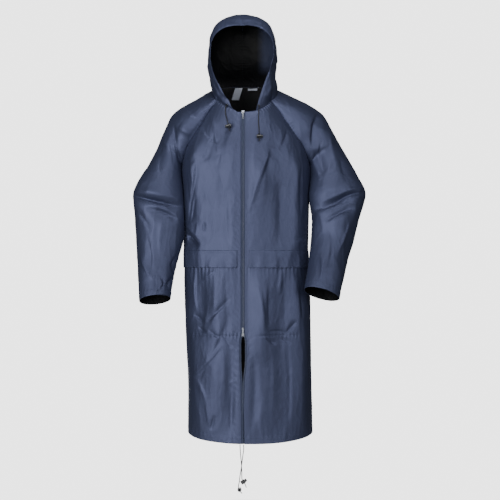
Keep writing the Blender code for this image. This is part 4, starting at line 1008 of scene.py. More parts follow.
def part_underarms(pieces):
    """At the underarm the sleeve's wall and the body's face each other, so each gets its own normal."""
    for side in NAMES:
        mirror = np.array([side, 1, 1])
        underarm = key(body_point(side * math.pi / 2, UNDERARM_Z))
        for piece in pieces:
            for i, p in enumerate(piece.points):
                if key(p) != underarm:
                    continue
                if piece.kind == "sleeve":
                    piece.points[i] = p + UNDERARM_GAP * (mirror * UNDERARM_MOVE)
                    piece.normals[i] = unit(mirror * SLEEVE_NORMAL)
                else:
                    piece.normals[i] = unit(mirror * BODY_NORMAL)


def shared_points(pieces):
    """The places where two pieces are sewn together."""
    owners = {}
    for piece in pieces:
        for p in piece.points:
            owners.setdefault(key(p), {})[piece.name] = p
    return np.array([list(found.values())[0] for found in owners.values() if len(found) > 1])


def cloth_pieces():
    """Every sewn piece, with the folds in its points and one normal for each shared place."""
    fronts = {side: front_grid(side) for side in NAMES}
    sleeves = {side: sleeve_grid(side) for side in NAMES}
    back = back_grid()
    pieces = {"back": Piece("back", back, "back", flip=True)}
    necks = {}
    for side in NAMES:
        back_neck = back[0][::-side][: BACK_COLUMNS // 2 + 1]
        necks[side] = list(fronts[side][0][HOOD_START:]) + list(sleeves[side][0][1:]) + list(back_neck[1:])
    columns = (shares(necks[-1]) + shares(necks[1])) / 2
    for side, name in NAMES.items():
        hood = hood_grid(side, necks[side], columns)
        for kind, grid in (("front", fronts[side]), ("sleeve", sleeves[side]), ("hood", hood)):
            flip = side > 0 if kind == "hood" else side < 0
            pieces[f"{kind}_{name}"] = Piece(f"{kind}_{name}", grid, kind, flip)
    every = list(pieces.values())
    common_normals(every)
    seams = shared_points(every)
    for piece in every:
        piece.points += piece.normals * fold_push(piece.points, piece.normals, piece.kind, seams)[:, None]
    common_normals(every)
    part_underarms(every)
    return pieces


def travelled(points):
    """Mean distance gone from row to row."""
    steps = np.linalg.norm(np.diff(points, axis=0), axis=-1)
    return np.concatenate([[0], np.cumsum(steps.reshape(len(steps), -1).mean(axis=1))])


def divided(keys, parts):
    """The keys with each interval cut into so many parts."""
    fine = keys[:-1, None] + np.diff(keys)[:, None] * np.arange(parts) / parts
    return np.append(fine.ravel(), keys[-1])


def step(value):
    """A soft step from 0 to 1."""
    value = np.clip(value, 0, 1)
    return value * value * (3 - 2 * value)


def border(line, breaks, parts):
    """An edge through its own points, smooth from one break to the next, so that neighbours agree on it."""
    ends = [0, *breaks, len(line) - 1]
    out = []
    for a, b in zip(ends, ends[1:]):
        keys = travelled(line[a : b + 1])
        out.append(curve(keys, line[a : b + 1], divided(keys, parts))[:-1])
    return np.concatenate(out + [line[-1:]])


def pull_edge(grid, wanted, reach):
    """Moves the first row to the wanted line, and the rows behind it less and less."""
    move = wanted - grid[0]
    for k in range(reach):
        grid[k] += move * step(1 - k / reach)


def refined(coarse, place):
    """A fine grid through the coarse one, with the edges that its neighbours share."""
    down_parts, across_parts = FINE[place]
    breaks = BREAKS[place]
    keys = travelled(coarse)
    grid = curve(keys, coarse, divided(keys, down_parts)).swapaxes(0, 1)
    keys = travelled(coarse.swapaxes(0, 1))
    grid = curve(keys, grid, divided(keys, across_parts)).swapaxes(0, 1)
    for _ in range(RELAX_STEPS):
        around = grid[2:, 1:-1] + grid[:-2, 1:-1] + grid[1:-1, 2:] + grid[1:-1, :-2]
        grid[1:-1, 1:-1] = grid[1:-1, 1:-1] / 2 + around / 8
    turned = grid.swapaxes(0, 1)
    reach = 2 * across_parts
    pull_edge(turned, border(coarse[:, 0], breaks.get("first", []), down_parts), reach)
    pull_edge(turned[::-1], border(coarse[:, -1], breaks.get("last", []), down_parts), reach)
    pull_edge(grid, border(coarse[0], breaks.get("top", []), across_parts), down_parts)
    pull_edge(grid[::-1], border(coarse[-1], [], across_parts), down_parts)
    return grid


class Panel:
    """A cloth piece as fine rows and columns of points on its outer side."""

    def __init__(self, piece):
        rows, columns = piece.shape
        self.name, self.kind, self.flip = piece.name, piece.kind, piece.flip
        self.base = refined(piece.points.reshape(rows, columns, 3), piece.kind)
        self.closed_from = CAP_ROWS * FINE["sleeve"][0] if piece.kind == "sleeve" else None
        self.settle(self.base)

    def settle(self, grid):
        """Takes new points, and works out their normals and distances from the edges."""
        self.grid = grid
        normals = units(np.cross(np.gradient(grid, axis=0), np.gradient(grid, axis=1)))
        self.normals = -normals if self.flip else normals
        if self.closed_from is not None:
            seam = self.normals[self.closed_from :, 0] + self.normals[self.closed_from :, -1]
            self.normals[self.closed_from :, 0] = self.normals[self.closed_from :, -1] = units(seam)
        down = np.linalg.norm(np.diff(grid, axis=0), axis=-1)
        across = np.linalg.norm(np.diff(grid, axis=1), axis=-1)
        self.from_top = np.concatenate([np.zeros((1, grid.shape[1])), np.cumsum(down, axis=0)])
        self.from_bottom = self.from_top[-1] - self.from_top
        self.from_first = np.concatenate([np.zeros((grid.shape[0], 1)), np.cumsum(across, axis=1)], axis=1)
        self.from_last = self.from_first[:, -1:] - self.from_first


def seam_lines(panels):
    """Every sewn line between two pieces, as fine points."""
    lines = []
    cap = CAP_ROWS * FINE["front"][0]
    for panel in panels.values():
        grid = panel.base
        if panel.kind == "front":
            lines += [grid[: cap + 1, -1], grid[cap:, -1], grid[0, HOOD_START * FINE["front"][1] :]]
        elif panel.kind == "sleeve":
            lines += [grid[: panel.closed_from, -1], grid[panel.closed_from :, 0], grid[0]]
        elif panel.kind == "back":
            lines.append(grid[0])
        elif panel.name == "hood_right":
            lines += [grid[:, -1], grid[-1]]
    return lines


def tree_of(points):
    """The points, sorted so that the nearest one is found fast."""
    tree = kdtree.KDTree(len(points))
    for i, p in enumerate(points):
        tree.insert(p, i)
    tree.balance()
    return tree


def nearest(tree, places):
    """For each place, the number of the nearest point and how far off it is."""
    index, gap = np.array([tree.find(p)[1:] for p in places.reshape(-1, 3)]).T
    return index.astype(int), gap


def measure_seams(panels):
    """How far each point is from the nearest seam, and how far along that seam."""
    lines = seam_lines(panels)
    along = np.concatenate([travelled(line) + i for i, line in enumerate(lines)])
    tree = tree_of(np.concatenate(lines))
    for panel in panels.values():
        index, gap = nearest(tree, panel.base)
        panel.seam_gap = gap.reshape(panel.base.shape[:2])
        panel.seam_along = along[index].reshape(panel.base.shape[:2])


def fill_raglans(panels):
    """Fills the valley along each raglan seam, so that the cloth runs on smoothly from front to sleeve."""
    lines = []
    for name in ("front_right", "front_left", "back"):
        base = panels[name].base[: CAP_ROWS * FINE[panels[name].kind][0] + 1]
        lines += [base[:, -1]] if name != "back" else [base[:, 0], base[:, -1]]
    gone = np.concatenate([travelled(line) / travelled(line)[-1] for line in lines])
    tree = tree_of(np.concatenate(lines))
    for panel in panels.values():
        index, gap = nearest(tree, panel.base)
        t = gone[index]
        fill = RAGLAN_FILL * np.exp(-gap / RAGLAN_REACH)
        fill *= step(t / RAGLAN_GROWS) * step((RAGLAN_END - t) / RAGLAN_FADES)
        way = (panel.base.reshape(-1, 3) - (0, SIDE_Y, 0)) * RAGLAN_WAY
        way /= np.maximum(np.linalg.norm(way, axis=1, keepdims=True), MM)
        panel.base = panel.base + (fill[:, None] * way).reshape(panel.base.shape)
        panel.settle(panel.base)


def beside(flat, path):
    """Distance from a path, with its side as the sign, and how far along it from 0 to 1."""
    best = np.full(len(flat), np.inf)
    signed, along = np.zeros(len(flat)), np.zeros(len(flat))
    gone = travelled(path)
    for i in range(len(path) - 1):
        way = path[i + 1] - path[i]
        length = np.linalg.norm(way)
        rel = flat - path[i]
        t = np.clip(rel @ way / length**2, 0, 1)
        gap = np.linalg.norm(rel - t[:, None] * way, axis=1)
        closer = gap < best
        best[closer] = gap[closer]
        turn = (way[0] * rel[:, 1] - way[1] * rel[:, 0])[closer]
        signed[closer] = gap[closer] * np.sign(turn)
        along[closer] = (gone[i] + t[closer] * length) / gone[-1]
    return signed, along


def crease_push(panel):
    """How far each point moves out for the creases of its piece."""
    push = np.zeros(panel.base.shape[:2])
    for view, (pieces, axes, way) in VIEWS.items():
        if not panel.name.startswith(pieces):
            continue
        flat = panel.base[..., axes]
        facing = np.clip(CREASE_FACING * (panel.normals @ np.array(way, float)), 0, 1)
        for width, depth, lean, path in CREASES[view]:
            path = MM * np.array(path, float)
            keys = travelled(path)
            path = curve(keys, path, divided(keys, CREASE_STEPS))
            reach = CREASE_REACH * width * MM
            inside = (flat > path.min(axis=0) - reach) & (flat < path.max(axis=0) + reach)
            near = np.all(inside, axis=-1) & (facing > 0)
            if not near.any():
                continue
            gap, along = beside(flat[near], path)
            w = gap / (width * MM)
            w /= np.maximum(1 + CREASE_SLANT * lean * np.sign(w), CREASE_SHARPEST)
            taper = np.sin(math.pi * np.clip(along, 0, 1)) ** CREASE_TAPER
            push[near] += depth * MM * np.exp(-np.abs(w) ** CREASE_FALL) * taper * facing[near]
    return push


def rumple_push(panel):
    """How far each point moves out for the soft rumpling of its kind of piece."""
    points = panel.base.reshape(-1, 3)
    push = np.zeros(len(points))
    for number, (place, spacing, depth, sharp) in enumerate(RUMPLES):
        if place != panel.kind:
            continue
        places = points / (MM * np.array(spacing)) + RUMPLE_SHIFT * number
        value = np.array([noise.noise(p) for p in places])
        if sharp:
            value = np.clip(1 - RIDGE_NARROW * np.abs(value), 0, 1) ** sharp
        push += depth * MM * value
    return push.reshape(panel.base.shape[:2])


def band(distance, width, rise):
    """A hem or seam allowance: level for its width, then down to the single cloth."""
    return rise * step(distance / BAND_START) * (1 - step((distance - width) / BAND_FALL))


def bell(distance, width):
    """1 at no distance, falling off to both sides."""
    return np.exp(-((distance / width) ** 2))


def ripple(along, spacing, seed):
    """Uneven puckers along a line, from -1 to 1."""
    waves = [
        size * np.sin(along / (length * spacing) + number * seed)
        for number, (size, length) in enumerate(PUCKER_WAVES, 1)
    ]
    drift = waves[0] + waves[1]
    swell = 1 - PUCKER_WAVES[2][0] + waves[2]
    return swell * np.sin(2 * math.pi * (along / spacing + drift))


def puckers(sewing, distance, along):
    """The puckers beside one kind of sewing."""
    spacing, width, seed = PUCKERS[sewing]
    return bell(distance, width) * ripple(along, spacing, seed)


def sewing_push(panel, sizes):
    """Seam allowances, puckers, hems, casing and the gathers under the flaps."""
    gap = panel.seam_gap
    clear = step(gap / SEAM_CLEAR)
    x, z = panel.base[..., 0], panel.base[..., 2]
    push = band(gap, SEAM_BAND, SEAM_RISE * (HOOD_SEAM_SHARE if panel.kind == "hood" else 1.0))
    spacing, width, seed = PUCKERS["seam"]
    beside_seam = step(gap / PUCKER_START) * np.exp(-((gap / width) ** PUCKER_FALL))
    push += sizes.pucker_depth * beside_seam * ripple(panel.seam_along, spacing, seed)
    if panel.kind in ("front", "back"):
        push += band(panel.from_bottom, HEM_BAND, SEAM_RISE)
        push += HEM_PUCKERS * puckers("hem", panel.from_bottom - HEM_BAND, x) * clear
    if panel.kind == "sleeve":
        push += band(panel.from_bottom, CUFF_BAND, SEAM_RISE)
        push += PUCKER_DEPTH * puckers("cuff", panel.from_bottom - CUFF_BAND, panel.from_first)
    if panel.kind == "hood":
        edge = panel.from_first
        cord_run = bell(edge - CASING_CORD, CASING_CORD_WIDTH) * step(edge / PUCKER_START)
        push += CASING_RISE * cord_run * step(gap / CORD_CLEAR)
        puckered = puckers("casing", edge - CASING_BAND, panel.from_top)
        push += PUCKER_DEPTH * puckered * step(gap / CASING_CLEAR)
    if panel.kind == "front":
        push += pocket_push(panel, x, z) + zip_push(panel) * clear
        spacing, fade, seed = PUCKERS["gathers"]
        under = FLAP_BOTTOM_Z - z
        gathers = step(under / GATHER_UNDER + 1) * np.exp(-np.maximum(under, 0) / fade)
        push += GATHER_DEPTH * gathers * (under > -GATHER_UNDER) * ripple(x, spacing, seed) * clear
    return push


def pocket_push(panel, x, z):
    """The puckered line of a pocket's stitching, with a groove under the thread."""
    low, high = POCKET_LINES[panel.name.split("_")[1]]
    inside = step((x - low) / POCKET_ENDS) * step((high - x) / POCKET_ENDS)
    drop = z - POCKET_LINE_Z
    puckered = POCKET_PUCKERS * puckers("pocket", drop, x)
    return inside * (puckered - POCKET_GROOVE * bell(drop, POCKET_GROOVE_WIDTH))


def zip_push(panel):
    """Slanted puckers beside the zip."""
    from_zip = panel.from_first
    slanted = panel.from_top + PLACKET_SLANT * from_zip
    depth = PLACKET_PUCKERS[panel.name.split("_")[1]] * step(from_zip / PLACKET_START)
    return depth * puckers("placket", from_zip, slanted)


@lru_cache(maxsize=None)
def coat_panels():
    """Every cloth piece with its creases, from the coat's own form."""
    sizes = bpy.context.scene.raincoat_sizes
    panels = {name: Panel(piece) for name, piece in cloth_pieces().items()}
    fill_raglans(panels)
    measure_seams(panels)
    for panel in panels.values():
        calm = step(panel.seam_gap / CREASE_CALM)
        if panel.kind == "front":
            grown = step((panel.from_first - ZIP_CREASES_FROM) / ZIP_CREASES_GROW)
            calm = calm * (ZIP_CREASES + (1 - ZIP_CREASES) * grown)
        creased = sizes.crease_strength * crease_push(panel) + sizes.rumple_strength * rumple_push(panel)
        push = calm * creased + sewing_push(panel, sizes)
        moved = panel.base + panel.normals * push[..., None]
        if panel.kind == "front":
            lapped = LAP * step((LAP_Z - moved[..., 2]) / LAP_GROWS) * bell(panel.from_first, LAP_REACH)
            moved[..., 0] -= np.sign(moved[..., 0].mean()) * lapped
        panel.settle(moved)
    return panels


def add_mesh(name, points, faces, finish):
    """A smooth mesh object from points and faces."""
    mesh = bpy.data.meshes.new(name)
    mesh.from_pydata(np.asarray(points).tolist(), [], [tuple(face) for face in faces])
    mesh.materials.append(finish)
    mesh.shade_smooth()
    made = bpy.data.objects.new(name, mesh)
    bpy.context.scene.collection.objects.link(made)
    return made


def add_grid(name, grid, finish, flip, wall, inner=None):
    """A mesh from rows and columns, with a UV map in metres, joined where it closes, with a wall inwards."""
    rows, columns = grid.shape[:2]
    index = np.arange(rows * columns).reshape(rows, columns)
    quads = np.stack([index[:-1, :-1], index[1:, :-1], index[1:, 1:], index[:-1, 1:]], -1).reshape(-1, 4)
    if flip:
        quads = quads[:, ::-1]
    uv = np.stack(np.meshgrid(travelled(grid.swapaxes(0, 1)), -travelled(grid)), -1)
    made = add_mesh(name, grid.reshape(-1, 3), quads.tolist(), finish)
    layer = made.data.uv_layers.new(name="cloth")
    layer.data.foreach_set("uv", uv.reshape(-1, 2)[quads.ravel()].astype(np.float32).ravel())
    if inner:
        made.data.materials.append(inner)
    edit_all(made, bpy.ops.mesh.remove_doubles, threshold=SAME_POINT)
    shell = made.modifiers.new("wall", "SOLIDIFY")
    shell.thickness = wall
    shell.offset = -1
    shell.material_offset = 1 if inner else 0
    shell.material_offset_rim = 0
    bpy.ops.object.modifier_apply(modifier="wall")
    return made


def edit_all(obj, operator, **settings):
    """Makes an object the only one selected, and runs an edit mode operator on all of its mesh."""
    bpy.ops.object.select_all(action="DESELECT")
    obj.select_set(True)
    bpy.context.view_layer.objects.active = obj
    bpy.ops.object.mode_set(mode="EDIT")
    bpy.ops.mesh.select_all(action="SELECT")
    operator(**settings)
    bpy.ops.object.mode_set(mode="OBJECT")


def fix_to_coat(made, solid=None):
    """A piece rides on the coat, and stands for a solid where one is named."""
    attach(made, COAT)
    if solid:
        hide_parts(solid)


def linear(hex_colour):
    """An sRGB hex colour as linear RGBA."""
    values = [int(hex_colour[i : i + 2], 16) / 255 for i in (1, 3, 5)]
    return tuple(v / 12.92 if v <= 0.04045 else ((v + 0.055) / 1.055) ** 2.4 for v in values) + (1.0,)


def set_inputs(tree, node, inputs):
    """Sets a node's inputs to values, or links them to other nodes."""
    for name, value in inputs.items():
        if isinstance(value, bpy.types.NodeSocket):
            tree.links.new(value, node.inputs[name])
        else:
            node.inputs[name].default_value = value


def add_node(tree, kind, inputs=None, **settings):
    """A node with its settings, and its inputs set or linked."""
    made = tree.nodes.new(kind)
    for name, value in settings.items():
        setattr(made, name, value)
    set_inputs(tree, made, inputs or {})
    return made


def new_material(name, inputs):
    """A material with its Principled shader's own sockets set."""
    made = bpy.data.materials.new(name)
    made.use_nodes = True
    shader = made.node_tree.nodes["Principled BSDF"]
    set_inputs(made.node_tree, shader, inputs)
    return made, made.node_tree, shader


def patterned(name, inputs, shades, spots=None, detail=2.0, ribs=None, relief=None, gloss=None):
    """A material that one pattern colours between two shades.

    The pattern is spots, so many to a metre, or ribs across the piece's UV map. It can also give the
    relief, of a strength and a height, and the gloss, from low to high.
    """
    made, tree, shader = new_material(name, inputs)
    place = add_node(tree, "ShaderNodeTexCoord").outputs
    if ribs:
        ribbed = {"Vector": place["UV"], "Scale": ribs}
        pattern = add_node(tree, "ShaderNodeTexWave", ribbed, bands_direction="Y")
    else:
        spotted = {"Vector": place["Object"], "Scale": spots, "Detail": detail}
        pattern = add_node(tree, "ShaderNodeTexNoise", spotted)
    value = pattern.outputs["Fac"]
    tone = {"Factor": value, "A": shades[0], "B": shades[1]}
    colour = add_node(tree, "ShaderNodeMix", tone, data_type="RGBA")
    follows = {"Base Color": colour.outputs["Result"]}
    if relief:
        bump = {"Height": value, "Strength": relief[0], "Distance": relief[1]}
        follows["Normal"] = add_node(tree, "ShaderNodeBump", bump).outputs["Normal"]
    if gloss:
        limits = {"Value": value, "To Min": gloss[0], "To Max": gloss[1]}
        follows["Roughness"] = add_node(tree, "ShaderNodeMapRange", limits).outputs["Result"]
    set_inputs(tree, shader, follows)
    return made


def colour_of(name):
    return tuple(getattr(bpy.context.scene.raincoat_colours, name)) + (1.0,)


def shades_of(name, dark, light):
    """Two shades of one of the coat's colours."""
    colour = colour_of(name)
    return tuple(tuple(c * share for c in colour[:3]) + (1.0,) for share in (dark, light))


@lru_cache(maxsize=None)
def coated_nylon():
    """Nylon taffeta with a polyurethane coat: plain weave, a satin sheen and a faint crinkle."""
    made, tree, shader = new_material("coated_nylon_taffeta", {
        "Roughness": 0.56, "IOR": 1.8, "Specular IOR Level": 0.8, "Specular Tint": linear("#a8b1e2"),
        "Sheen Weight": 0.02, "Sheen Roughness": 0.5, "Sheen Tint": linear("#8d98c0"),
    })
    place = add_node(tree, "ShaderNodeTexCoord").outputs
    # Clouds of tone 70 mm across, and a crinkle with 8 mm from ridge to ridge
    cloud = add_node(tree, "ShaderNodeTexNoise", {"Vector": place["Object"], "Scale": 14.0, "Detail": 4.0})
    crinkled = {"Vector": place["Object"], "Scale": 120.0, "Detail": 5.0, "Distortion": 1.2}
    crinkle = add_node(tree, "ShaderNodeTexNoise", crinkled)
    # Threads lie 0.25 mm apart in the real cloth; drawn at 0.6 mm, so that they show close by
    threads = [
        add_node(tree, "ShaderNodeTexWave", {"Vector": place["UV"], "Scale": 500.0}, bands_direction=way)
        for way in ("X", "Y")
    ]
    crossed = {i: thread.outputs["Fac"] for i, thread in enumerate(threads)}
    weave = add_node(tree, "ShaderNodeMath", crossed, operation="MULTIPLY").outputs["Value"]
    soft = {"Height": crinkle.outputs["Fac"], "Strength": 0.18, "Distance": 0.0012}
    soft = add_node(tree, "ShaderNodeBump", soft).outputs["Normal"]
    fine = {"Height": weave, "Normal": soft, "Strength": 0.12, "Distance": 0.0002}
    dark, light = shades_of("cloth", 0.88, 1.14)
    tone = {"Factor": cloud.outputs["Fac"], "A": dark, "B": light}
    gloss = {"Value": cloud.outputs["Fac"], "To Min": 0.52, "To Max": 0.6}
    set_inputs(tree, shader, {
        "Base Color": add_node(tree, "ShaderNodeMix", tone, data_type="RGBA").outputs["Result"],
        "Normal": add_node(tree, "ShaderNodeBump", fine).outputs["Normal"],
        "Roughness": add_node(tree, "ShaderNodeMapRange", gloss).outputs["Result"],
    })
    return made


@lru_cache(maxsize=None)
def film_with_painted_shade_and_light():
    """The inner side: a dull polyurethane film, painted near black as painted shade for the dark inside of
    the coat, fading on the hood's left wall to painted light, a tone lighter than the cloth.
    """
    made, tree, shader = new_material("polyurethane_film", {"Roughness": 0.62, "Specular IOR Level": 0.25})
    place = add_node(tree, "ShaderNodeTexCoord").outputs["Object"]
    spotted = {"Vector": place, "Scale": 40.0, "Detail": 4.0}
    cloud = add_node(tree, "ShaderNodeTexNoise", spotted).outputs["Fac"]
    shade_and_light_tones = []
    # Two tones of the cloth: near black, painted shade, and lighter than the cloth, painted light
    for shares in ((0.04, 0.08), (1.6, 2.4)):
        dark, light = shades_of("cloth", *shares)
        tone = {"Factor": cloud, "A": dark, "B": light}
        shade_and_light_tones.append(add_node(tree, "ShaderNodeMix", tone, data_type="RGBA").outputs["Result"])
    # Painted light: over the hood's left wall the film turns to the tone lighter than the cloth
    split = add_node(tree, "ShaderNodeSeparateXYZ", {"Vector": place}).outputs
    grown = {}
    for i, (axis, (low, high)) in enumerate((("X", PAINTED_LIGHT_X), ("Z", PAINTED_LIGHT_Z))):
        limits = {"Value": split[axis], "From Min": low, "From Max": high}
        grown[i] = add_node(tree, "ShaderNodeMapRange", limits).outputs["Result"]
    painted_light_share = add_node(tree, "ShaderNodeMath", grown, operation="MULTIPLY").outputs["Value"]
    base = add_node(tree, "ShaderNodeMix", {"Factor": painted_light_share, "A": shade_and_light_tones[0], "B": shade_and_light_tones[1]}, data_type="RGBA")
    relief = add_node(tree, "ShaderNodeBump", {"Height": cloud, "Strength": 0.1, "Distance": 0.001})
    set_inputs(tree, shader, {"Base Color": base.outputs["Result"], "Normal": relief.outputs["Normal"]})
    return made


@lru_cache(maxsize=None)
def sewing_thread():
    """Spun polyester thread, a shade lighter than the cloth: its twist shows as 1.1 mm spots."""
    return patterned(
        "spun_polyester_thread", {"Roughness": 0.6}, shades_of("thread", 0.7, 1.3), spots=900.0,
    )


@lru_cache(maxsize=None)
def woven_tape():
    """Polyester zip tape: dull, with ribs 0.8 mm apart across it."""
    return patterned(
        "woven_polyester_tape", {"Roughness": 0.75}, shades_of("tape", 0.7, 1.3),
        ribs=400.0, relief=(0.5, 0.0003),
    )


@lru_cache(maxsize=None)
def acetal():
    """Moulded acetal zip teeth: satin, worn in spots of 3 mm."""
    return patterned(
        "moulded_acetal", {"Roughness": 0.4, "Specular IOR Level": 0.35}, shades_of("teeth", 0.8, 1.2),
        spots=300.0,
    )


@lru_cache(maxsize=None)
def nickel():
    """Nickel-plated zinc: bright, rubbed in fine marks 1.4 mm apart."""
    return patterned(
        "nickel_plated_zinc", {"Roughness": 0.25, "Metallic": 1.0}, shades_of("metal", 0.85, 1.1),
        spots=700.0, detail=3.0, gloss=(0.18, 0.4),
    )


@lru_cache(maxsize=None)
def gunmetal():
    """Gunmetal-plated brass eyelets, rubbed in marks 2 mm apart."""
    return patterned(
        "gunmetal_plated_brass", {"Roughness": 0.3, "Metallic": 1.0}, (linear("#3a3c42"), linear("#5a5d66")),
        spots=500.0,
    )


@lru_cache(maxsize=None)
def black_plastic():
    """Moulded polypropylene: black, with a fine spark-eroded grain 0.7 mm apart."""
    return patterned(
        "moulded_polypropylene", {"Roughness": 0.34, "IOR": 1.5}, (linear("#0c0e12"), linear("#181b21")),
        spots=1500.0, relief=(0.2, 0.0001),
    )


@lru_cache(maxsize=None)
def braid():
    """Braided polyester cord: matt, its carriers catching a little light 0.8 mm apart."""
    return patterned(
        "braided_polyester", {"Roughness": 0.7}, shades_of("cord", 0.6, 1.6),
        spots=1200.0, relief=(0.3, 0.0002),
    )


@lru_cache(maxsize=None)
def label_weave():
    """Woven satin label, blank, with rows 0.6 mm apart."""
    return patterned(
        "woven_satin_label", {"Roughness": 0.5}, shades_of("label", 0.85, 1.0),
        ribs=500.0, relief=(0.2, 0.0002),
    )


def line_beside(panel, edge, distance, first=0, last=None):
    """Points and normals of a line at one distance from an edge, on the finished cloth."""
    gone, grid, normals = getattr(panel, "from_" + edge), panel.grid, panel.normals
    if edge in ("top", "bottom"):
        gone, grid, normals = gone.T, grid.swapaxes(0, 1), normals.swapaxes(0, 1)
    points, ways = [], []
    for i in range(len(grid))[first:last]:
        distances = gone[i]
        order = slice(None) if distances[0] < distances[-1] else slice(None, None, -1)
        spot = np.interp(distance, distances[order], np.arange(len(distances), dtype=float)[order])
        j = min(int(spot), len(distances) - 2)
        part = spot - j
        points.append(grid[i, j] * (1 - part) + grid[i, j + 1] * part)
        ways.append(normals[i, j] * (1 - part) + normals[i, j + 1] * part)
    return np.array(points), np.array(ways)


def read_along(spots, gone, values):
    """Values of a line's points, read at distances along it."""
    return np.stack([np.interp(spots, gone, column) for column in values.T], 1)


def stitched(lines, sizes):
    """Points and faces of the stitches along lines of points and normals: two rings of four and two tips."""
    x, y, z = STITCH_TIP
    rings = [(end, a, b) for end in (-STITCH_SHOULDER, STITCH_SHOULDER) for a, b in STITCH_RING]
    template = np.array([(-x, y, z), (x, y, z)] + rings) * (sizes.stitch_length, sizes.thread, sizes.thread)
    turns = [(i, (i + 1) % 4) for i in range(4)]
    faces = [(2 + i, 2 + j, 6 + j, 6 + i) for i, j in turns]
    faces += [(0, 2 + j, 2 + i) for i, j in turns] + [(1, 6 + i, 6 + j) for i, j in turns]
    points, all_faces = [], []
    for line, ways in lines:
        gone = travelled(line)
        spots = np.arange(sizes.stitch_pitch / 2, gone[-1], sizes.stitch_pitch)
        ahead, behind = (read_along(spots + reach, gone, line) for reach in (STITCH_REACH, -STITCH_REACH))
        along = units(ahead - behind)
        up = units(read_along(spots, gone, ways))
        for c, a, s, u in zip(read_along(spots, gone, line), along, np.cross(up, along), up):
            base = len(points) * len(template)
            lifted = c + u * THREAD_RISE
            points.append(lifted + template[:, :1] * a + template[:, 1:2] * s + template[:, 2:] * u)
            all_faces += [tuple(base + k for k in f) for f in faces]
    return np.concatenate(points), all_faces


def add_cloth(context, names):
    """Adds the named cloth pieces, each in place of its solid."""
    wall = context.scene.raincoat_sizes.cloth_wall
    for name in names:
        panel = coat_panels()[name]
        made = add_grid("cloth_" + name, panel.grid, coated_nylon(), panel.flip, wall, film_with_painted_shade_and_light())
        if panel.kind == "hood":
            made.data.set_sharp_from_angle(angle=HOOD_EDGE_ANGLE)
        fix_to_coat(made, name)
    return {"FINISHED"}


def surface_frame(x, z):
    """A point of the body's front and its normal."""
    angle = body_angle(x, z)
    point = body_point(angle, z)
    down, across = body_point(angle, z - MM) - point, body_point(angle + MM, z) - point
    return point, unit(np.cross(down, across))


def eyelet_seat(name):
    """The middle of a packed eyelet and the way out of it."""
    low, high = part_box("eyelet_" + name)
    middle = (np.array(low) + np.array(high)) / 2
    points = np.array([v.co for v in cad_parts["eyelet_" + name].data.vertices], float) - middle
    out = np.linalg.svd(points, full_matrices=False)[2][2]
    return middle, out if out[1] < 0 else -out


def cord_routes():
    """Each cord's route, from the point where it leaves the coat."""
    routes = {}
    for name, below in HOOD_CORDS.items():
        middle, out = eyelet_seat(name)
        route = [middle - out * CORD_BEHIND, middle + out * CORD_OUT]
        for x, z, lift in zip(below["x"], below["z"], below["lift"]):
            point, normal = surface_frame(x, z)
            route.append(point + normal * lift)
        routes["hood_cord_" + name] = np.array(route)
    for name, below in HEM_CORDS.items():
        routes["hem_cord_" + name] = np.stack([below[axis] for axis in "xyz"], 1)
    return routes


def finely(route):
    """Points a short step apart along the smooth curve through a route."""
    keys = travelled(route)
    steps = np.linspace(0, keys[-1], int(keys[-1] / BRAID_STEP) + 1)
    return np.stack([smooth(keys, route[:, i], steps) for i in range(3)], 1)


def add_braid(name, line):
    """A round cord whose carriers cross over each other, with closed ends."""
    sides, count = BRAID_SIDES, len(line)
    along = np.gradient(line, axis=0)
    along /= np.linalg.norm(along, axis=1, keepdims=True)
    side = np.cross(along[0], BRAID_ASIDE)
    angles = np.arange(sides) * 2 * math.pi / sides
    crossing = BRAID_CARRIERS * angles
    rings = []
    for p, t, gone in zip(line, along, travelled(line)):
        side = unit(side - t * (side @ t))
        up = np.cross(t, side)
        twist = 2 * math.pi * gone / BRAID_TURN
        relief = 1 + BRAID_RELIEF * np.cos(crossing + twist) * np.cos(crossing - twist)
        round_it = np.cos(angles)[:, None] * side + np.sin(angles)[:, None] * up
        rings.append(p + CORD_DIAMETER / 2 * relief[:, None] * round_it)
    first, last = BRAID_ENDS
    points = np.concatenate(rings + [[line[0] - along[0] * first], [line[-1] + along[-1] * last]])
    turns = [(j, (j + 1) % sides) for j in range(sides)]
    faces = [
        (base + a, base + b, base + b + sides, base + a + sides)
        for base in range(0, (count - 1) * sides, sides) for a, b in turns
    ]
    end = (count - 1) * sides
    for a, b in turns:
        faces += [(b, a, end + sides), (end + a, end + b, end + sides + 1)]
    return add_mesh(name, points, faces, braid())


def zip_line(front):
    """The front's edge on its inner side, the way in to the zip's middle, and the way out of the coat."""
    edge, stitching = front.grid[:, 0], front.grid[:, FINE["front"][1]]
    inward = units(edge - stitching)
    out = front.normals[:, 0] - inward * np.sum(front.normals[:, 0] * inward, axis=1, keepdims=True)
    return edge, inward, units(out)


def add_teeth(name, line, inward, out, edge, pitch):
    """Moulded teeth on the edge of a tape, each a wedge that reaches past the middle."""
    corners = ((-TOOTH_HALF, 0), (TOOTH_HALF, 0), (TOOTH_HALF, 1), (-TOOTH_HALF, 1))
    quads = ((0, 1, 2, 3), (7, 6, 5, 4), (0, 4, 5, 1), (1, 5, 6, 2), (2, 6, 7, 3), (3, 7, 4, 0))
    points, faces = [], []
    for p, i, o, a, e in zip(line, inward, out, np.cross(inward, out), edge):
        faces += [tuple(len(points) + k for k in quad) for quad in quads]
        for reach, wide, tall in ((e - TOOTH_REACH, 1, 1), (e + TOOTH_PAST, TOOTH_NARROWS, TOOTH_LOWERS)):
            for way, up in corners:
                height = up * tall * TOOTH_HEIGHT - TAPE_DROP
                points.append(p + i * reach + a * way * wide * pitch + o * height)
    made = add_mesh(name, points, faces, acetal())
    made.data.set_sharp_from_angle(angle=TOOTH_SHARP)
    edit_all(made, bpy.ops.mesh.normals_make_consistent, inside=False)
    return made


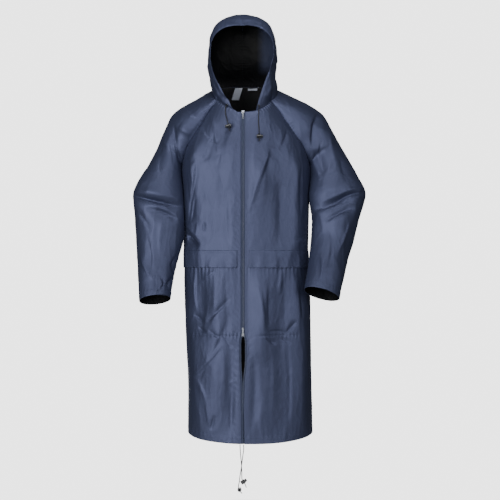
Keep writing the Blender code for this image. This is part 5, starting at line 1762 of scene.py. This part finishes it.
def inside_back(middle, top, width, length, lean):
    """Rows and columns of a strip that hangs inside the back of the neck, bent as the back is."""
    rows = []
    for t in np.linspace(0, 1, STRIP_ROWS):
        z, centre = top - length * t, middle + lean * t
        row = []
        for x in np.linspace(centre - width / 2, centre + width / 2, STRIP_COLUMNS):
            point = body_point(math.pi - body_angle(x, z), z)
            row.append(point + unit(np.array([body_span(z)[0], SIDE_Y, z]) - point) * LABEL_CLEAR)
        rows.append(row)
    return np.array(rows)


def pocket_line(front, name):
    """The stitched line of the inner pocket, level across a front."""
    low, high = POCKET_LINES[name]
    points, ways = [], []
    for j in range(front.grid.shape[1]):
        z = front.grid[:, j, 2]
        spot = np.interp(-POCKET_LINE_Z, -z, np.arange(len(z)))
        i = min(int(spot), len(z) - 2)
        part = spot - i
        point = front.grid[i, j] * (1 - part) + front.grid[i + 1, j] * part
        if low < point[0] < high:
            points.append(point)
            ways.append(front.normals[i, j])
    return np.array(points), np.array(ways)


class RaincoatSizes(bpy.types.PropertyGroup):
    """Sizes of the sewing and the cloth."""

    cloth_wall: FloatProperty(
        name="Cloth wall", description="Thickness of the shell cloth as shown", default=0.0008, unit="LENGTH"
    )
    crease_strength: FloatProperty(
        name="Creases", description="Depth of the creases placed by hand", default=1.0, subtype="FACTOR"
    )
    rumple_strength: FloatProperty(
        name="Rumpling", description="Depth of the soft rumpling", default=1.0, subtype="FACTOR"
    )
    pucker_depth: FloatProperty(
        name="Puckers", description="Depth of the puckers along the seams", default=0.0012, unit="LENGTH"
    )
    stitch_pitch: FloatProperty(
        name="Stitch pitch", description="From one stitch to the next", default=0.0036, unit="LENGTH"
    )
    stitch_length: FloatProperty(
        name="Stitch length", description="Length of thread that shows", default=0.0028, unit="LENGTH"
    )
    thread: FloatProperty(
        name="Thread", description="Thickness of the thread", default=0.0005, unit="LENGTH"
    )
    tooth_pitch: FloatProperty(
        name="Tooth pitch", description="From one zip tooth to the next on one side", default=0.0026,
        unit="LENGTH",
    )
    light: FloatProperty(
        name="Light", description="Strength of the studio lights", default=1.0, subtype="FACTOR"
    )


def colour_property(name, hex_colour, description):
    """A colour that the user can change, from its sRGB hex value."""
    return FloatVectorProperty(
        name=name, description=description, default=linear(hex_colour)[:3], subtype="COLOR", min=0, max=1
    )


class RaincoatColours(bpy.types.PropertyGroup):
    """Colours of the coat and its trims."""

    cloth: colour_property("Cloth", "#222636", "Navy shell cloth")
    thread: colour_property("Thread", "#39425f", "Sewing thread")
    tape: colour_property("Zip tape", "#28304a", "Tape that holds the teeth")
    teeth: colour_property("Teeth", "#333b52", "Zip teeth")
    metal: colour_property("Metal", "#8f939d", "Sliders and pull tabs")
    cord: colour_property("Cord", "#15161a", "Drawcords")
    label: colour_property("Label", "#a3a8b6", "Label and hanging loop")


class COAT_OT_camera(bpy.types.Operator):
    """Adds the camera, level and in front of the coat"""

    bl_idname = "raincoat.camera"
    bl_label = "Camera"

    def execute(self, context):
        data = bpy.data.cameras.new("camera")
        data.sensor_width = 36
        data.angle = CAMERA_ANGLE
        camera = bpy.data.objects.new("camera", data)
        camera.location = CAMERA_PLACE
        camera.rotation_euler = (math.pi / 2, 0, 0)
        context.scene.collection.objects.link(camera)
        context.scene.camera = camera
        return {"FINISHED"}


class COAT_OT_stage(bpy.types.Operator):
    """Adds the floor, the soft lights and the white surround"""

    bl_idname = "raincoat.stage"
    bl_label = "Floor and lights"

    def execute(self, context):
        bpy.ops.mesh.primitive_circle_add(
            vertices=96, radius=FLOOR_RADIUS, fill_type="NGON", location=(0, 0, FLOOR_Z)
        )
        floor = context.object
        floor.name = "floor"
        glow = {"Roughness": 0.9, "Emission Color": linear("#f4f4f4"), "Emission Strength": FLOOR_GLOW}
        floor.data.materials.append(
            patterned("pale_floor", glow, (linear("#f0f0f0"), linear("#f7f7f7")), spots=6.0)
        )
        for name, (place, aim, size, watts) in LIGHTS.items():
            data = bpy.data.lights.new(name, "AREA")
            data.shape = "RECTANGLE"
            data.size, data.size_y = size
            data.energy = watts * context.scene.raincoat_sizes.light
            light = bpy.data.objects.new(name, data)
            light.location = place
            light.rotation_euler = (Vector(aim) - Vector(place)).to_track_quat("-Z", "Y").to_euler()
            context.scene.collection.objects.link(light)
        world = bpy.data.worlds.new("surround")
        world.use_nodes = True
        tree = world.node_tree
        tree.nodes.clear()
        shown = add_node(tree, "ShaderNodeBackground", {"Color": (1, 1, 1, 1), "Strength": BACKDROP})
        dim = add_node(tree, "ShaderNodeBackground", {"Color": SURROUND_COLOUR, "Strength": SURROUND})
        path = add_node(tree, "ShaderNodeLightPath")
        both = {1: dim.outputs["Background"], 2: shown.outputs["Background"]}
        mix = add_node(tree, "ShaderNodeMixShader", {"Fac": path.outputs["Is Camera Ray"], **both})
        add_node(tree, "ShaderNodeOutputWorld", {"Surface": mix.outputs["Shader"]})
        context.scene.world = world
        return {"FINISHED"}


class COAT_OT_cords(bpy.types.Operator):
    """Adds the braided drawcords along their routes"""

    bl_idname = "raincoat.cords"
    bl_label = "Drawcords"

    def execute(self, context):
        for name, route in cord_routes().items():
            line = finely(route)
            made = add_braid("braid_" + name, line)
            fix_to_coat(made, name)
        return {"FINISHED"}


class COAT_OT_body(bpy.types.Operator):
    """Adds both fronts and the back"""

    bl_idname = "raincoat.body"
    bl_label = "Fronts and back"

    def execute(self, context):
        return add_cloth(context, ("front_right", "front_left", "back"))


class COAT_OT_sleeves(bpy.types.Operator):
    """Adds both raglan sleeves"""

    bl_idname = "raincoat.sleeves"
    bl_label = "Sleeves"

    def execute(self, context):
        return add_cloth(context, ("sleeve_right", "sleeve_left"))


class COAT_OT_hood(bpy.types.Operator):
    """Adds both halves of the hood"""

    bl_idname = "raincoat.hood"
    bl_label = "Hood"

    def execute(self, context):
        return add_cloth(context, ("hood_right", "hood_left"))


class COAT_OT_flaps(bpy.types.Operator):
    """Adds both pocket flaps on the fronts"""

    bl_idname = "raincoat.flaps"
    bl_label = "Pocket flaps"

    def execute(self, context):
        rows, columns = FINE["front"]
        wall = context.scene.raincoat_sizes.cloth_wall
        first = (CAP_ROWS + LEVELS[0][1]) * rows
        under = (slice(first, first + LEVELS[1][1] * rows + 1), slice(columns, -1))
        for side, name in NAMES.items():
            panel = coat_panels()["front_" + name]
            grid = panel.grid[under]
            part = np.linspace(0, 1, len(grid))[:, None]
            ends = step(np.minimum(panel.from_last[under], FLAP_ENDS) / FLAP_ENDS)
            lift = FLAP_SEWN + (FLAP_TOP_LIFT - FLAP_SEWN) * step(part * FLAP_TURN)
            lift = lift + FLAP_LIFT * part**FLAP_BEND
            wave = FLAP_WAVE * part * ripple(grid[..., 0], FLAP_WAVE_LENGTH, FLAP_WAVE_SEED + side)
            lift = lift * (FLAP_END_SHARE + (1 - FLAP_END_SHARE) * ends) + wave * ends
            lifted = grid + panel.normals[under] * lift[..., None]
            made = add_grid("cloth_flap_" + name, lifted, coated_nylon(), panel.flip, wall, film_with_painted_shade_and_light())
            fix_to_coat(made, "flap_" + name)
        return {"FINISHED"}


class COAT_OT_zip(bpy.types.Operator):
    """Adds the zip's tapes and teeth, closed above the bottom slider and parted below it"""

    bl_idname = "raincoat.zip"
    bl_label = "Zip"

    def execute(self, context):
        pitch = context.scene.raincoat_sizes.tooth_pitch
        for side, name in NAMES.items():
            line, inward, out = zip_line(coat_panels()["front_" + name])
            edge = np.array([opening_at("edge", z) - opening_at("teeth", z) for z in line[:, 2]])[:, None]
            if side > 0:
                tucked = step((TUCK_Z - line[:, 2]) / TUCK_LENGTH)[:, None]
                line, edge = line - out * TUCK_BEHIND * tucked, edge + TUCK_PAST * tucked
            across = (
                (-TAPE_WIDTH, 0), (-TAPE_WIDTH / 2, TAPE_CROWN), (0, 0), (edge - TOOTH_REACH, 0), (edge, 0)
            )
            grid = np.stack([line + inward * reach - out * (TAPE_DROP - up) for reach, up in across], 1)
            tape = add_grid("tape_" + name, grid, woven_tape(), side < 0, TAPE_SHOWN)
            fix_to_coat(tape, "zip_" + name)
            gone = travelled(line)
            spots = np.arange(FIRST_TOOTH[name] * pitch, gone[-1], pitch)
            places = [read_along(spots, gone, values) for values in (line, inward, out, edge)]
            fix_to_coat(add_teeth("teeth_" + name, *places, pitch))
        return {"FINISHED"}


class COAT_OT_hardware(bpy.types.Operator):
    """Finishes the sliders, pull tabs, eyelets, cord locks and buttons"""

    bl_idname = "raincoat.hardware"
    bl_label = "Sliders, eyelets and locks"

    def execute(self, context):
        finishes = {
            "slider": nickel, "pull": nickel, "eyelet": gunmetal, "lock": black_plastic,
            "button": black_plastic,
        }
        for name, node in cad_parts.items():
            finish = finishes.get(name.split("_")[0])
            if finish:
                node.data.materials.clear()
                node.data.materials.append(finish())
        return {"FINISHED"}


class COAT_OT_labels(bpy.types.Operator):
    """Adds the blank label and the hanging loop inside the back of the neck"""

    bl_idname = "raincoat.labels"
    bl_label = "Label and loop"

    def execute(self, context):
        for name, place, solid in (("label", LABEL, "neck_label"), ("hanging_loop", LOOP, None)):
            strip = inside_back(*place, LEANS[name])
            made = add_grid("woven_" + name, strip, label_weave(), True, LABEL_SHOWN)
            fix_to_coat(made, solid)
        return {"FINISHED"}


class COAT_OT_stitching(bpy.types.Operator):
    """Sews the stitch lines along seams, hems, plackets and pockets"""

    bl_idname = "raincoat.stitching"
    bl_label = "Stitching"

    def execute(self, context):
        sizes = context.scene.raincoat_sizes
        panels = coat_panels()
        cap = CAP_ROWS * FINE["front"][0]
        back_cap = CAP_ROWS * FINE["back"][0]
        groups = {}
        for name in NAMES.values():
            groups["front_" + name] = (
                ("first", SEAM_STITCH), ("first", PLACKET_STITCH), ("last", SEAM_STITCH, 0, cap),
                ("bottom", HEM_BAND - HEM_STITCH),
            )
            sleeve_cap = panels["sleeve_" + name].closed_from
            groups["sleeve_" + name] = (
                ("first", SEAM_STITCH, 0, sleeve_cap), ("last", SEAM_STITCH, 0, sleeve_cap),
                ("bottom", CUFF_BAND - HEM_STITCH),
            )
            groups["hood_" + name] = (
                ("first", CASING_BAND), ("bottom", SEAM_STITCH), ("last", SEAM_STITCH), ("top", SEAM_STITCH),
            )
        groups["back"] = (
            ("first", SEAM_STITCH, 0, back_cap), ("last", SEAM_STITCH, 0, back_cap),
            ("bottom", HEM_BAND - HEM_STITCH),
        )
        for name, edges in groups.items():
            lines = [line_beside(panels[name], *edge) for edge in edges]
            if name.startswith("front"):
                lines.append(pocket_line(panels[name], name.split("_")[1]))
            made = add_mesh("stitches_" + name, *stitched(lines, sizes), sewing_thread())
            fix_to_coat(made)
        return {"FINISHED"}


class COAT_PT_panel(bpy.types.Panel):
    """Lists the pieces, sizes and colours of the raincoat"""

    bl_label = "Hooded Raincoat"
    bl_idname = "COAT_PT_panel"
    bl_space_type = "VIEW_3D"
    bl_region_type = "UI"
    bl_category = "Raincoat"

    def draw(self, context):
        column = self.layout.column()
        for operator in OPERATORS:
            column.operator(operator.bl_idname)
        for group in (context.scene.raincoat_sizes, context.scene.raincoat_colours):
            for name in group.bl_rna.properties.keys():
                if name not in ("rna_type", "name"):
                    column.prop(group, name)


OPERATORS = (
    COAT_OT_camera,
    COAT_OT_cords,
    COAT_OT_stage,
    COAT_OT_body,
    COAT_OT_sleeves,
    COAT_OT_hood,
    COAT_OT_flaps,
    COAT_OT_zip,
    COAT_OT_hardware,
    COAT_OT_labels,
    COAT_OT_stitching,
)
CLASSES = (RaincoatSizes, RaincoatColours, *OPERATORS, COAT_PT_panel)


def register():
    for made in CLASSES:
        bpy.utils.register_class(made)
    bpy.types.Scene.raincoat_sizes = PointerProperty(type=RaincoatSizes)
    bpy.types.Scene.raincoat_colours = PointerProperty(type=RaincoatColours)


def unregister():
    del bpy.types.Scene.raincoat_colours
    del bpy.types.Scene.raincoat_sizes
    for made in reversed(CLASSES):
        bpy.utils.unregister_class(made)


def main():
    """Makes every piece in order."""
    register()
    for operator in OPERATORS:
        group, name = operator.bl_idname.split(".")
        getattr(getattr(bpy.ops, group), name)()


if __name__ == "__main__":
    main()
